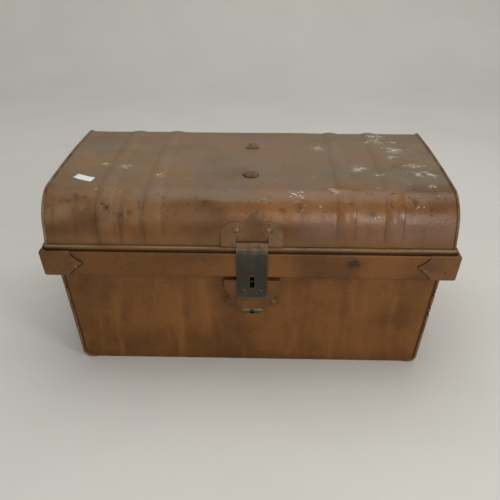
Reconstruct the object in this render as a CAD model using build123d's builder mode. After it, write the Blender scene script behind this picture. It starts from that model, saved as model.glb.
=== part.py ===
from build123d import *
import os
from math import sqrt

os.makedirs("parts", exist_ok=True)

# A small tin trunk for papers and keepsakes. X runs along its length, the front is at -Y and Z is up.
# The origin is on the floor, under the middle of the body.

# ---------------------------------------------------------------- driving dimensions, mm
sheet = 0.8  # tinplate of the body and the lid
fold = 1.2  # outer radius of an ordinary fold in the tinplate
plate = 1.2  # steel strip of the hinges and the hasp
fit_gap = 0.1  # round a rivet's shank
seat_gap = 0.3  # between pieces that move past each other
joint_slack = 0.05  # where one sheet's edge meets another sheet

# Body: a tapered tub whose mouth is stepped out into a band
band_length = 500.0  # over the corner caps, at the top
band_depth = 302.0
band_top = 171.0
band_height = 34.0
band_fold = 4.0  # outer radius under the band
wall_lean = 0.103  # how far a wall comes in for each mm that it goes down
step_in = 13.0  # from the band's foot in to the wall
ledge_width = 5.0
lip_depth = 5.0
foot_radius = 8.0  # the end panels turn under the tub with this radius
seam_radius = 1.8  # rolled seam between an end panel and the sheet beside it
seam_inset = 1.2  # from the end panel's face in to the seam's middle

# Corner caps on the band
cap_sheet = 0.8
cap_reach = 50.0  # from the corner to the tip of the tongue
cap_neck = 35.0  # from the corner to the cap's outline at the band's top, and at its foot below
cap_rivet_reach = 40.0
cap_foot_neck = 32.0
cap_hollow = 2.0  # how far the sides of the tongue curve in
cap_wrap = 5.0  # how far the cap turns in under the band

# Lid
lid_end_inset = 6.6  # from the band's outer face in to the lid's end
lid_side_inset = 6.2  # and to the lid's front and back
lid_height = 71.0  # from the band's top up to the middle of the lid's top
lid_shoulder = 36.0
lid_crown = 2.5  # rise of the lid's top in its middle
skirt_depth = 6.0  # below the band's ledge
rim_radius = 3.2  # rolled rim, outside
rim_out = 1.0  # from the lid's wall out to the rim's middle
rim_wire_radius = 2.2
rim_wire_gap = 0.2
rib_places = (113.0, 169.0)  # from the middle of the lid, on both sides
rib_width = 22.0
rib_height = 1.7
rib_lift = 2.5  # from the rim up to a rib's foot

# Hasp on the lid's front
hasp_place = 3.5  # along the trunk, the middle of the hasp and the lock
knuckle_radius = 3.2
pin_radius = 1.9
pin_gap = 0.08
hasp_rise = 3.4  # from the rim's top up to the hinge's middle
hasp_plate_width = 73.0
hasp_plate_height = 38.0  # above the hinge, along the lid
hasp_sheet = 1.0
hasp_swell = 12.0  # how far above the hinge the plate starts to stand out to its knuckles
hasp_rivet_reach = 19.0
hasp_rivet_lift = 18.0  # above the hinge
hasp_rivet_head = 4.2
hasp_rivet_rise = 2.0
strap_width = 38.0
strap_taper = 1.0  # narrower at the foot, on each side
strap_drop = 29.0  # from the band's foot down to the strap's lower end
strap_slot_width = 6.0
strap_slot_length = 19.0
strap_slot_drop = 5.0  # from the band's foot down to the slot's middle
strap_gap = 0.7  # between the strap and the band
strap_bends = (3.0, 4.0, 6.0)  # radii along the strap, from its roll down
strap_corners = (9.0, 3.0)  # radii of its outline, where it narrows and at its foot
staple_foot = (26.0, 9.0, 1.0)
staple_rivet_reach = 10.0
staple_rivet_head = 2.6
staple_loop = 11.6  # height of the staple's loop
staple_reach = 9.2  # from the strap in to the loop's end
staple_lift = 2.0  # from the wall to the loop's end

# Lock under the band, on the body's front
cover_width = 67.0
cover_waist = 46.0
cover_nose = 30.0  # width just above the knee
cover_tip = 15.0  # width of the lower end
cover_height = 61.5
cover_side = 12.5  # height of the upright sides
cover_drop = 2.5  # from the band's foot down to the cover; the drops below are from the same line
cover_knee_drop = 52.5  # where the face turns in to the wall
cover_lean = 0.19  # how far the cover's face comes in for each mm down
cover_sheet = 1.0
cover_corners = (6.0, 6.0, 6.0, 8.0)  # radii of the outline's corners, from the top down one side
ear_reach = 25.8
ear_drop = 42.5
ear_radius = 8.6
window_width = 28.0
window_sill = 8.0  # below the bolt's middle
window_bridge = 3.0  # what is left of the cover above its window
keyhole_drop = 54.0
keyhole_radius = 2.4
keyhole_slot = (2.2, 5.7)
key_post_radius = 1.5
key_post_length = 5.0
lock_drop = 19.5  # down to the bolt's middle
back_plate = 1.0
bolt_thickness = 2.2
bolt_height = 7.0
bolt_length = 26.0
bolt_start = 2.3  # from the lock's middle to the bolt's end
bolt_tail = (4.0, 17.0)
bolt_tail_place = 15.5
bolt_lift = 4.0  # from the wall to the bolt's back
guide_places = (23.5, 6.0)
guide_width = 4.0
guide_wall = 1.5
spring_sheet = 0.6
spring_bend = 3.0
spring_anchor = 10.0
spring_anchor_place = 3.0
spring_rise = 7.8  # from the bolt's upper edge up to where the spring is held
spring_knees = (3.0, 13.0, 18.0)  # back from the lock's middle: bends down, comes to the bolt, ends
eye_width = 2.5  # thickness of the staple's loop

# Hinges at the back
hinge_place = 141.0
hinge_width = 28.0
hinge_knuckle = 10.0  # length of the middle knuckle
hinge_pin_radius = 1.5
hinge_pin_gap = 0.1
hinge_rise = 1.0  # from the band's top up to the hinge's middle
hinge_low_leaf = 31.0  # from the band's top down to the leaf's end
hinge_high_leaf = 28.0  # from the lid's rim up to the leaf's end
hinge_joggle = 9.0  # from the rim up to where the leaf lies on the lid
hinge_body_bend = 0.5
hinge_lid_bend = 1.5
hinge_rivet_inset = 6.0  # from the leaf's side
hinge_rivet_end = 9.0  # from the leaf's end

# Drop handles at the ends
handle_height = 92.0
handle_plate_width = 98.0
handle_plate_height = 26.0
bail_radius = 2.5
bail_width = 72.0
bail_drop = 36.0
bail_bend = 8.0
bail_end = 1.0  # how far each end of the wire reaches past its eye
eye_length = 9.0
eye_wall = 2.0
eye_lift = 0.2  # between the wire and the plate, past the eye's wall
handle_plate_corner = 8.0
handle_rivet_inset = 6.0  # from the plate's edges

# Rivets
rivet_head = 3.6  # radius of a dome head on the hasp, lock, hinges and handles
rivet_rise = 1.7
rivet_shank = 1.6
small_rivet_head = 2.4
small_rivet_rise = 1.2
small_rivet_shank = 1.1
drill_depth = 8.0  # a rivet hole reaches half of this to each side of the head's seat

# Fixings on the lid's top
washer_places = (-72.0, 39.0)  # along the top, front to back
washer_radius = 10.4  # over the corners of the six-sided one in front
tab_width = (18.0, 10.0)  # front and back edges of the tapered one behind
tab_depth = 19.0
washer_thickness = 2.4
washer_chamfer = 0.8

# ---------------------------------------------------------------- worked out from them
band_foot = band_top - band_height
body_half_x = band_length / 2 - cap_sheet
body_half_y = band_depth / 2 - cap_sheet
mitre_shift = body_half_x - body_half_y
lid_half_x = body_half_x - lid_end_inset
lid_half_y = body_half_y - lid_side_inset
lid_mitre_shift = lid_half_x - lid_half_y
rim_height = band_top + cap_sheet + seat_gap + rim_radius
rim_top = rim_height + rim_radius
lid_top = band_top + lid_height
hasp_axis_height = rim_top + hasp_rise
hinge_axis_height = band_top + hinge_rise
lock_height = band_foot - lock_drop
over = 2.0  # how far a cutting shape reaches past what it cuts
far = 1200.0  # longer than anything, for cutting shapes


def band_half(half, z):
    """Half size of the band at height z, from its half size at the top."""
    return half - wall_lean * (band_top - z)


def wall_half(half, z):
    """Half size of the tub's wall at height z."""
    return band_half(half, z) - step_in


def body_side(half):
    """One side of the tub from the lip over the ledge and down to the floor, as (distance, height)."""
    return [
        (half - ledge_width, band_top - lip_depth),
        (half - ledge_width, band_top),
        (half, band_top),
        (band_half(half, band_foot), band_foot),
        (wall_half(half, band_foot), band_foot),
        (wall_half(half, 0), 0),
    ]


def save(piece, name):
    """Name a finished piece and write it out."""
    piece.part.label = name
    export_step(piece.part, f"parts/{name}.step")


def strip(points, bends, thickness, side):
    """A strip of sheet that follows the points, on one side of their line."""
    with BuildSketch() as made:
        with BuildLine():
            FilletPolyline(*points, radius=bends)
            offset(amount=thickness, side=side)
        make_face()
    return made.sketch


def area(points, bends):
    """The area inside a closed outline, its inner points rounded."""
    with BuildSketch() as made:
        with BuildLine():
            outline = FilletPolyline(*points, radius=bends)
            Line(outline @ 1, outline @ 0)
        make_face()
    return made.sketch


def around(inside):
    """All of the plane outside an area, for cutting a solid to the area."""
    with BuildSketch() as made:
        Rectangle(far, far)
        add(inside, mode=Mode.SUBTRACT)
    return made.sketch


def wedge(shift, half_x):
    """The plan area of a mitred frame's right end."""
    tip = half_x - shift
    with BuildSketch() as made:
        Polygon((shift, 0), (half_x, -tip), (half_x, tip), align=None)
    return made.sketch


def rivet(head, rise, shank, grip):
    """A dome-headed rivet along Z, its head seated at Z = 0 and its tail clinched under the grip."""
    dome = (head * head + rise * rise) / (2 * rise)
    tail = 1.5 * shank
    with BuildPart() as made:
        with BuildSketch(Plane.XZ):
            with BuildLine():
                stem = Polyline((0, rise), (0, -grip - shank), (tail, -grip - shank), (tail, -grip))
                neck = Polyline(stem @ 1, (shank, -grip), (shank, 0), (head, 0))
                RadiusArc(neck @ 1, stem @ 0, -dome)
            make_face()
        revolve(axis=Axis.Z)
    return made.part


def leaning(point, along, up, out):
    """A plane on a leaning face, looking outward, moved out from the face."""
    normal = along.cross(up.normalized())
    return Plane(origin=point + normal * out, x_dir=along, z_dir=normal)


def front_plane(half, x, z, out):
    """A plane on the front of the wall or the band, whichever the half size is given for."""
    return leaning(Vector(x, -half(body_half_y, z), z), Vector(1, 0, 0), Vector(0, -wall_lean, 1), out)


def end_plane(half, y, z, out):
    """A plane on the right end of the wall or the band."""
    return leaning(Vector(half(body_half_x, z), y, z), Vector(0, 1, 0), Vector(wall_lean, 0, 1), out)


def turned(planes):
    """The same planes turned half round the trunk's upright axis."""
    return [Plane(Location((0, 0, 0), (0, 0, 180)) * Location(plane)) for plane in planes]


# ---------------------------------------------------------------- places of the rivets on the body
cap_rivet_height = band_foot + 0.38 * band_height
ear_height = band_foot - ear_drop
cap_rivets_side = [
    front_plane(band_half, side * (body_half_x - cap_rivet_reach), cap_rivet_height, cap_sheet)
    for side in (-1, 1)
]
cap_rivets_end = [
    end_plane(band_half, side * (body_half_y - cap_rivet_reach), cap_rivet_height, cap_sheet)
    for side in (-1, 1)
]
cap_rivet_places = cap_rivets_side + cap_rivets_end
cap_rivet_places = cap_rivet_places + turned(cap_rivet_places)
ear_places = [
    front_plane(wall_half, hasp_place + side * ear_reach, ear_height, cover_sheet)
    for side in (-1, 1)
]
hinge_rivet_reach = hinge_width / 2 - hinge_rivet_inset
leaf_foot = band_top - hinge_low_leaf
hinge_body_places = turned(
    [
        front_plane(band_half, middle + side * hinge_rivet_reach, leaf_foot + hinge_rivet_inset, plate)
        for middle in (-hinge_place, hinge_place)
        for side in (-1, 1)
    ]
)
handle_rivet_rise = handle_plate_height / 2 - handle_rivet_inset
handle_places = [
    end_plane(wall_half, side * (handle_plate_width / 2 - handle_rivet_inset), handle_height + rise, plate)
    for side in (-1, 1)
    for rise in (-handle_rivet_rise, handle_rivet_rise)
]
handle_places = handle_places + turned(handle_places)

# ---------------------------------------------------------------- body
front_side = [(-y, z) for y, z in body_side(body_half_y)]
back_side = body_side(body_half_y)[::-1]
bend = fold - sheet
side_bends = [fold, fold, band_fold, bend]
mitre_foot = band_foot - joint_slack  # the band's corners are mitred from here up
flange_height = sheet + joint_slack  # the end panels turn in over the bottom sheet
foot_half = wall_half(body_half_x, flange_height)
bottom_half = foot_half - 0.7 * foot_radius
flange = 2 * foot_radius


def below_mitre(inside, reach):
    """What to cut away below the mitred band, all but the area given."""
    with BuildSketch() as made:
        with Locations((0, mitre_foot)):
            Rectangle(2 * reach, mitre_foot + foot_radius, align=(Align.CENTER, Align.MAX))
        add(inside, mode=Mode.SUBTRACT)
    return made.sketch


def wall_end():
    """The outline of the front and back walls, with the bottom sheet below it."""
    top_half = wall_half(body_half_x, band_top)
    points = [(top_half, band_top), (foot_half, flange_height)]
    points += [(-x, z) for x, z in points[::-1]]
    with BuildSketch() as made:
        add(area(points, [foot_radius, foot_radius]))
        Rectangle(2 * bottom_half, 4 * foot_radius)
    return made.sketch


# Front, bottom and back in one sheet
with BuildPart() as body_sheet:
    with BuildSketch(Plane.YZ.offset(-body_half_x - over)):
        add(strip(front_side + back_side, side_bends + [fold, fold] + side_bends[::-1], sheet, Side.LEFT))
    extrude(amount=2 * (body_half_x + over))
    with BuildSketch(Plane.XZ.offset(-body_half_y - over)):
        add(below_mitre(wall_end(), body_half_x + 2 * over))
    extrude(amount=2 * (body_half_y + over), mode=Mode.SUBTRACT)
    with BuildSketch(Plane.XY.offset(mitre_foot)):
        add(wedge(mitre_shift, body_half_x + 2 * over))
        mirror(about=Plane.YZ)
    extrude(amount=band_height + over, mode=Mode.SUBTRACT)
    with Locations(*cap_rivet_places):
        Cylinder(small_rivet_shank + fit_gap, drill_depth, mode=Mode.SUBTRACT)
    with Locations(*ear_places, *hinge_body_places):
        Cylinder(rivet_shank + fit_gap, drill_depth, mode=Mode.SUBTRACT)
save(body_sheet, "body_sheet")

# End panels, each with its rolled seams
seam_top_x = wall_half(body_half_x, band_foot) - seam_inset
seam_top = Vector(seam_top_x, -wall_half(body_half_y, band_foot), band_foot)
seam_lean = Vector(-wall_lean, wall_lean, -1)
seam_foot = seam_top + seam_lean * (band_foot - seam_radius - seat_gap)
seam_end = seam_foot - Vector(0.85 * flange, 0, 0)
with BuildPart() as body_end_right:
    with BuildSketch(Plane.XZ.offset(-body_half_y - over)):
        under = [(foot_half, flange_height), (foot_half - flange, flange_height)]
        add(strip(body_side(body_half_x)[:5] + under, side_bends + [foot_radius], sheet, Side.RIGHT))
    extrude(amount=2 * (body_half_y + over))
    with BuildSketch(Plane.YZ):
        with BuildSketch(mode=Mode.PRIVATE) as between:
            top = wall_half(body_half_y, band_top) - sheet - joint_slack
            low = wall_half(body_half_y, -over) - sheet - joint_slack
            Polygon((-low, -over), (low, -over), (top, band_top), (-top, band_top), align=None)
        add(below_mitre(between.sketch, body_half_y + over))
    extrude(amount=body_half_x + over, mode=Mode.SUBTRACT)
    with BuildSketch(Plane.XY.offset(mitre_foot)):
        add(around(wedge(mitre_shift, body_half_x + 2 * over)))
    extrude(amount=band_height + over, mode=Mode.SUBTRACT)
    with BuildLine() as seam_path:
        FilletPolyline(seam_top, seam_foot, seam_end, radius=foot_radius)
    with BuildSketch(Plane(origin=seam_top, z_dir=seam_lean)):
        Circle(seam_radius)
    sweep(path=seam_path.wire())
    with BuildLine() as seam_path_back:
        add(seam_path.wire())
        mirror(about=Plane.XZ, mode=Mode.REPLACE)
    back_top = Vector(seam_top.X, -seam_top.Y, seam_top.Z)
    with BuildSketch(Plane(origin=back_top, z_dir=(seam_lean.X, -seam_lean.Y, seam_lean.Z))):
        Circle(seam_radius)
    sweep(path=seam_path_back.wire())
    add(body_sheet.part, mode=Mode.SUBTRACT)
    with Locations(*cap_rivet_places):
        Cylinder(small_rivet_shank + fit_gap, drill_depth, mode=Mode.SUBTRACT)
    with Locations(*handle_places):
        Cylinder(rivet_shank + fit_gap, drill_depth, mode=Mode.SUBTRACT)
save(body_end_right, "body_end_right")

with BuildPart() as body_end_left:
    add(body_end_right.part, rotation=(0, 0, 180))
save(body_end_left, "body_end_left")

# ---------------------------------------------------------------- corner caps on the band
cap_tip_height = band_top - 0.45 * band_height


def cap_outline(corner):
    """The cap's outline on a face whose corner is at this distance, as (distance, height)."""
    high = band_top + over
    deep = band_foot - over
    top = (corner - cap_neck, band_top - 0.09 * band_height)
    tip = (corner - cap_reach, cap_tip_height)
    low = (corner - cap_foot_neck, band_foot + 0.06 * band_height)
    with BuildSketch() as made:
        with BuildLine():
            Polyline((corner + over, high), (top[0], high), top)
            ThreePointArc(top, ((top[0] + tip[0]) / 2 + cap_hollow, (top[1] + tip[1]) / 2), tip)
            ThreePointArc(tip, ((low[0] + tip[0]) / 2 + cap_hollow, (low[1] + tip[1]) / 2), low)
            Polyline(low, (low[0], deep), (corner + over, deep), (corner + over, high))
        make_face()
    return made.sketch


def cap_strip(half):
    """The cap's section over the band, from the ledge to the underside."""
    ledge = (half - 0.8 * ledge_width, band_top)
    foot = band_half(half, band_foot)
    points = [ledge, (half, band_top), (foot, band_foot), (foot - cap_wrap, band_foot)]
    return strip(points, [fold, band_fold], cap_sheet, Side.LEFT)


with BuildPart() as cap_end_leaf:
    with BuildSketch(Plane.XZ.offset(-body_half_y - over)):
        add(cap_strip(body_half_x))
    extrude(amount=2 * (body_half_y + over))
    with BuildSketch(Plane.YZ):
        add(around(cap_outline(body_half_y)))
    extrude(amount=body_half_x + over, mode=Mode.SUBTRACT)
    with BuildSketch(Plane.XY.offset(band_foot - over)):
        add(around(wedge(mitre_shift, body_half_x + 2 * over)))
    extrude(amount=band_height + 2 * over, mode=Mode.SUBTRACT)
with BuildPart() as cap_side_leaf:
    with BuildSketch(Plane.YZ):
        add(cap_strip(body_half_y))
    extrude(amount=body_half_x + over)
    with BuildSketch(Plane.XZ.offset(-body_half_y - over)):
        add(around(cap_outline(body_half_x)))
    extrude(amount=2 * (body_half_y + over), mode=Mode.SUBTRACT)
    with BuildSketch(Plane.XY.offset(band_foot - over)):
        add(wedge(mitre_shift, body_half_x + 2 * over))
    extrude(amount=band_height + 2 * over, mode=Mode.SUBTRACT)
with BuildPart() as corner_cap_back_right:
    add(cap_end_leaf.part)
    add(cap_side_leaf.part)
    with Locations(*cap_rivet_places):
        Cylinder(small_rivet_shank + fit_gap, drill_depth, mode=Mode.SUBTRACT)
save(corner_cap_back_right, "corner_cap_back_right")
with BuildPart() as corner_cap_back_left:
    add(corner_cap_back_right.part)
    mirror(about=Plane.YZ, mode=Mode.REPLACE)
save(corner_cap_back_left, "corner_cap_back_left")
with BuildPart() as corner_cap_front_right:
    add(corner_cap_back_right.part)
    mirror(about=Plane.XZ, mode=Mode.REPLACE)
save(corner_cap_front_right, "corner_cap_front_right")
with BuildPart() as corner_cap_front_left:
    add(corner_cap_back_left.part)
    mirror(about=Plane.XZ, mode=Mode.REPLACE)
save(corner_cap_front_left, "corner_cap_front_left")
with BuildPart() as corner_cap_rivets:
    with Locations(*cap_rivet_places):
        add(rivet(small_rivet_head, small_rivet_rise, small_rivet_shank, cap_sheet + sheet))
save(corner_cap_rivets, "corner_cap_rivets")

# ---------------------------------------------------------------- lock under the band
lock_plane = front_plane(wall_half, hasp_place, lock_height, 0)
cover_top = lock_drop - cover_drop  # these heights are above the bolt's middle
cover_end = band_foot - cover_drop - cover_height
ear_rise = lock_drop - ear_drop
knee_rise = lock_drop - cover_knee_drop
key_rise = lock_drop - keyhole_drop
cover_profile = [
    (cover_width / 2, cover_top),
    (cover_width / 2, cover_top - cover_side),
    (cover_waist / 2, ear_rise + 0.6 * ear_radius),
    (cover_nose / 2, knee_rise + 0.6 * ear_radius),
    (cover_tip / 2, cover_top - cover_height),
]


def cover_outline(inset):
    """The lock cover's outline, drawn in by an inset."""
    left = [(-x, rise) for x, rise in cover_profile[::-1]]
    bends = list(cover_corners)
    with BuildSketch() as made:
        add(area(cover_profile + left, bends + bends[::-1]))
        if inset:
            offset(amount=-inset, kind=Kind.INTERSECTION)
    return made.sketch


def cover_face(inset):
    """The space between the wall and the cover's sloping face, seen along the trunk."""
    reach = -band_half(body_half_y, band_foot) + inset
    knee = (reach + cover_lean * cover_knee_drop, band_foot - cover_knee_drop)
    foot = (-wall_half(body_half_y, cover_end) + inset, cover_end + over / 2)
    high = band_foot + ledge_width
    with BuildSketch() as made:
        Polygon((0, foot[1]), (0, high), (reach - cover_lean * ledge_width, high), knee, foot, align=None)
    return made.sketch


with BuildPart() as cover_space:
    with BuildSketch(lock_plane):
        add(cover_outline(cover_sheet))
    extrude(amount=cover_width)
    with BuildSketch(Plane.YZ.offset(-cover_width)):
        add(around(cover_face(1.1 * cover_sheet)))
    extrude(amount=2 * cover_width, mode=Mode.SUBTRACT)
with BuildPart() as lock_cover:
    with BuildSketch(lock_plane):
        add(cover_outline(0))
    extrude(amount=cover_width)
    with BuildSketch(Plane.YZ.offset(-cover_width)):
        add(around(cover_face(0)))
    extrude(amount=2 * cover_width, mode=Mode.SUBTRACT)
    with BuildSketch(lock_plane):
        with Locations((-ear_reach, ear_rise), (ear_reach, ear_rise)):
            Circle(ear_radius)
    extrude(amount=cover_sheet)
    add(cover_space.part, mode=Mode.SUBTRACT)
    with BuildSketch(lock_plane):
        with Locations((0, -window_sill)):
            window_height = window_sill + cover_top - window_bridge
            Rectangle(window_width, window_height, align=(Align.CENTER, Align.MIN))
        with Locations((0, key_rise)):
            Circle(keyhole_radius)
            Rectangle(*keyhole_slot, align=(Align.CENTER, Align.MAX))
    extrude(amount=cover_width, mode=Mode.SUBTRACT)
    with Locations(*ear_places):
        Cylinder(rivet_shank + fit_gap, drill_depth, mode=Mode.SUBTRACT)
save(lock_cover, "lock_cover")
with BuildPart() as lock_cover_rivets:
    with Locations(*ear_places):
        add(rivet(rivet_head, rivet_rise, rivet_shank, cover_sheet + sheet))
save(lock_cover_rivets, "lock_cover_rivets")

guide_span = bolt_height + 2 * seat_gap
guide_rise = bolt_lift + bolt_thickness + seat_gap
spring_rest = bolt_height / 2 + fit_gap  # on the bolt's upper edge
spring_top = spring_rest + spring_rise
with BuildPart() as lock_back_plate:
    with BuildSketch(lock_plane):
        add(cover_outline(cover_sheet + seat_gap))
        with Locations(*[(x, ear_rise) for x in (-ear_reach, ear_reach)]):
            Circle(rivet_head, mode=Mode.SUBTRACT)
        with Locations((0, key_rise)):
            Circle(key_post_radius + fit_gap, mode=Mode.SUBTRACT)
        with Locations((0, knee_rise - 0.6 * ear_radius)):
            Rectangle(cover_width, cover_height, align=(Align.CENTER, Align.MAX), mode=Mode.SUBTRACT)
    extrude(amount=back_plate)
    with BuildSketch(lock_plane.offset(back_plate)):
        with Locations(*[(-x, 0) for x in guide_places]):
            Rectangle(guide_width, guide_span + 2 * guide_wall)
        with Locations((spring_anchor_place, spring_top + spring_sheet)):
            Rectangle(spring_anchor, guide_wall, align=(Align.CENTER, Align.MIN))
    extrude(amount=guide_rise + guide_wall - back_plate)
    with BuildSketch(lock_plane.offset(bolt_lift - seat_gap)):
        Rectangle(cover_width, guide_span)
    extrude(amount=bolt_thickness + 2 * seat_gap, mode=Mode.SUBTRACT)
save(lock_back_plate, "lock_back_plate")
with BuildPart() as key_post:
    with BuildSketch(lock_plane):
        with Locations((0, key_rise)):
            Circle(key_post_radius)
    extrude(amount=key_post_length)
    with BuildSketch(lock_plane.offset(back_plate)):
        with Locations((0, key_rise)):
            Circle(1.7 * key_post_radius)
    extrude(amount=0.8 * back_plate)
save(key_post, "key_post")
with BuildPart() as bolt_spring:
    with BuildSketch(lock_plane.offset(bolt_lift - seat_gap)):
        held = spring_anchor_place + spring_anchor / 2 - seat_gap
        bend_place, touch_place, end_place = spring_knees
        spring_line = [(held, spring_top), (-bend_place, spring_top)]
        spring_line += [(-touch_place, spring_rest), (-end_place, spring_rest)]
        add(strip(spring_line, [spring_bend, spring_bend], spring_sheet, Side.RIGHT))
    extrude(amount=bolt_thickness + 2 * seat_gap)
save(bolt_spring, "bolt_spring")
with BuildPart() as lock_bolt:
    with BuildSketch(lock_plane.offset(bolt_lift)):
        with Locations((-bolt_start, 0)):
            Rectangle(bolt_length, bolt_height, align=(Align.MAX, Align.CENTER))
        with Locations((-bolt_tail_place, 0)):
            Rectangle(*bolt_tail, align=(Align.MAX, Align.MAX))
    extrude(amount=bolt_thickness)
save(lock_bolt, "lock_bolt")

# ---------------------------------------------------------------- hinges at the back
hinge_bore = hinge_pin_radius + hinge_pin_gap
hinge_outer = hinge_bore + plate
hinge_axis_y = body_half_y + hinge_outer
hinge_leaf_top = rim_top + hinge_high_leaf
hinge_side = Plane.YZ.offset(hinge_place - hinge_width / 2)
hinge_side_knuckle = (hinge_width - hinge_knuckle) / 2


def hinge_leaf(points, bends):
    """A leaf's section with its knuckle's ring."""
    with BuildSketch() as made:
        add(strip(points, bends, plate, Side.RIGHT))
        with Locations((hinge_axis_y, hinge_axis_height)):
            Circle(hinge_outer)
            Circle(hinge_bore, mode=Mode.SUBTRACT)
    return made.sketch


def knuckle_space(width, *shifts):
    """Room for the other leaf's knuckles on the right hinge."""
    with BuildPart() as made:
        with Locations(*[(hinge_place + shift, hinge_axis_y, hinge_axis_height) for shift in shifts]):
            Box(width, 4 * hinge_outer, 2 * (hinge_outer + seat_gap))
    return made.part


with BuildPart() as hinge_body_leaf_right:
    leaf_foot_y = band_half(body_half_y, leaf_foot)
    low_line = [(leaf_foot_y, leaf_foot), (body_half_y, band_top), (body_half_y, hinge_axis_height)]
    with BuildSketch(hinge_side):
        add(hinge_leaf(low_line, [hinge_body_bend]))
    extrude(amount=hinge_width)
    add(knuckle_space(hinge_knuckle + 2 * seat_gap, 0), mode=Mode.SUBTRACT)
    with Locations(*hinge_body_places):
        Cylinder(rivet_shank + fit_gap, drill_depth, mode=Mode.SUBTRACT)
save(hinge_body_leaf_right, "hinge_body_leaf_right")
with BuildPart() as hinge_body_leaf_left:
    add(hinge_body_leaf_right.part)
    mirror(about=Plane.YZ, mode=Mode.REPLACE)
save(hinge_body_leaf_left, "hinge_body_leaf_left")

hinge_lid_places = [
    Plane(
        origin=(middle + side * hinge_rivet_reach, lid_half_y + plate, hinge_leaf_top - hinge_rivet_end),
        x_dir=(-1, 0, 0),
        z_dir=(0, 1, 0),
    )
    for middle in (-hinge_place, hinge_place)
    for side in (-1, 1)
]
with BuildPart() as hinge_lid_leaf_right:
    high_line = [
        (body_half_y, hinge_axis_height),
        (body_half_y, rim_top + fold),
        (lid_half_y, rim_top + hinge_joggle),
        (lid_half_y, hinge_leaf_top),
    ]
    with BuildSketch(hinge_side):
        add(hinge_leaf(high_line, [hinge_lid_bend, hinge_lid_bend]))
    extrude(amount=hinge_width)
    side_shift = (hinge_width - hinge_side_knuckle) / 2
    add(knuckle_space(hinge_side_knuckle, -side_shift, side_shift), mode=Mode.SUBTRACT)
    with Locations(*hinge_lid_places):
        Cylinder(rivet_shank + fit_gap, drill_depth, mode=Mode.SUBTRACT)
save(hinge_lid_leaf_right, "hinge_lid_leaf_right")
with BuildPart() as hinge_lid_leaf_left:
    add(hinge_lid_leaf_right.part)
    mirror(about=Plane.YZ, mode=Mode.REPLACE)
save(hinge_lid_leaf_left, "hinge_lid_leaf_left")
with BuildPart() as hinge_pin_right:
    with BuildSketch(hinge_side):
        with Locations((hinge_axis_y, hinge_axis_height)):
            Circle(hinge_pin_radius)
    extrude(amount=hinge_width)
save(hinge_pin_right, "hinge_pin_right")
with BuildPart() as hinge_pin_left:
    add(hinge_pin_right.part)
    mirror(about=Plane.YZ, mode=Mode.REPLACE)
save(hinge_pin_left, "hinge_pin_left")
with BuildPart() as hinge_body_rivets:
    with Locations(*hinge_body_places):
        add(rivet(rivet_head, rivet_rise, rivet_shank, plate + sheet))
save(hinge_body_rivets, "hinge_body_rivets")
with BuildPart() as hinge_lid_rivets:
    with Locations(*hinge_lid_places):
        add(rivet(rivet_head, rivet_rise, rivet_shank, plate + sheet))
save(hinge_lid_rivets, "hinge_lid_rivets")

# ---------------------------------------------------------------- drop handles at the ends
bail_bore = bail_radius + fit_gap
eye_outer = bail_bore + eye_wall
handle_face = end_plane(wall_half, 0, handle_height, 0)
pivot = handle_face.origin + handle_face.z_dir * (eye_outer + eye_lift)
bail_half = bail_width / 2
eye_start = bail_half - bail_bend - eye_length
with BuildPart() as handle_plate_right:
    with BuildSketch(handle_face):
        RectangleRounded(handle_plate_width, handle_plate_height, handle_plate_corner)
    extrude(amount=plate)
    for start in (eye_start, -eye_start - eye_length):
        with BuildSketch(Plane.XZ.offset(start)):
            with Locations((pivot.X, pivot.Z)):
                Circle(eye_outer)
        extrude(amount=eye_length)
    with BuildSketch(Plane.XZ.offset(-handle_plate_width / 2)):
        with Locations((pivot.X, pivot.Z)):
            Circle(bail_bore)
    extrude(amount=handle_plate_width, mode=Mode.SUBTRACT)
    with Locations(*handle_places):
        Cylinder(rivet_shank + fit_gap, drill_depth, mode=Mode.SUBTRACT)
save(handle_plate_right, "handle_plate_right")
with BuildPart() as handle_plate_left:
    add(handle_plate_right.part)
    mirror(about=Plane.YZ, mode=Mode.REPLACE)
save(handle_plate_left, "handle_plate_left")
with BuildPart() as handle_right:
    bail_start = eye_start - bail_end
    hang = [(bail_start, 0), (bail_half, 0), (bail_half, -bail_drop)]
    hang = [(-y, z) for y, z in hang] + hang[::-1]
    with BuildLine() as bail_line:
        FilletPolyline(*[pivot + Vector(0, y, z) for y, z in hang], radius=bail_bend)
    with BuildSketch(Plane(origin=bail_line.line @ 0, z_dir=bail_line.line % 0)):
        Circle(bail_radius)
    sweep()
save(handle_right, "handle_right")
with BuildPart() as handle_left:
    add(handle_right.part)
    mirror(about=Plane.YZ, mode=Mode.REPLACE)
save(handle_left, "handle_left")
with BuildPart() as handle_rivets:
    with Locations(*handle_places):
        add(rivet(rivet_head, rivet_rise, rivet_shank, plate + sheet))
save(handle_rivets, "handle_rivets")

# ---------------------------------------------------------------- lid
crown_run = lid_half_y - lid_shoulder
crown_radius = (crown_run**2 + lid_crown**2) / (2 * lid_crown)
shoulder_reach = sqrt((crown_radius - lid_shoulder) ** 2 - crown_run**2)
shoulder_height = lid_top - crown_radius + shoulder_reach
skirt_foot = band_top - skirt_depth
rim_bore = rim_wire_radius + rim_wire_gap
rib_start = rim_top + rib_lift
rib_skin = 3 * sheet  # from a rib's edge in to its hollow
lid_low = rim_top - foot_radius  # below the foot of what covers the lid


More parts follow.
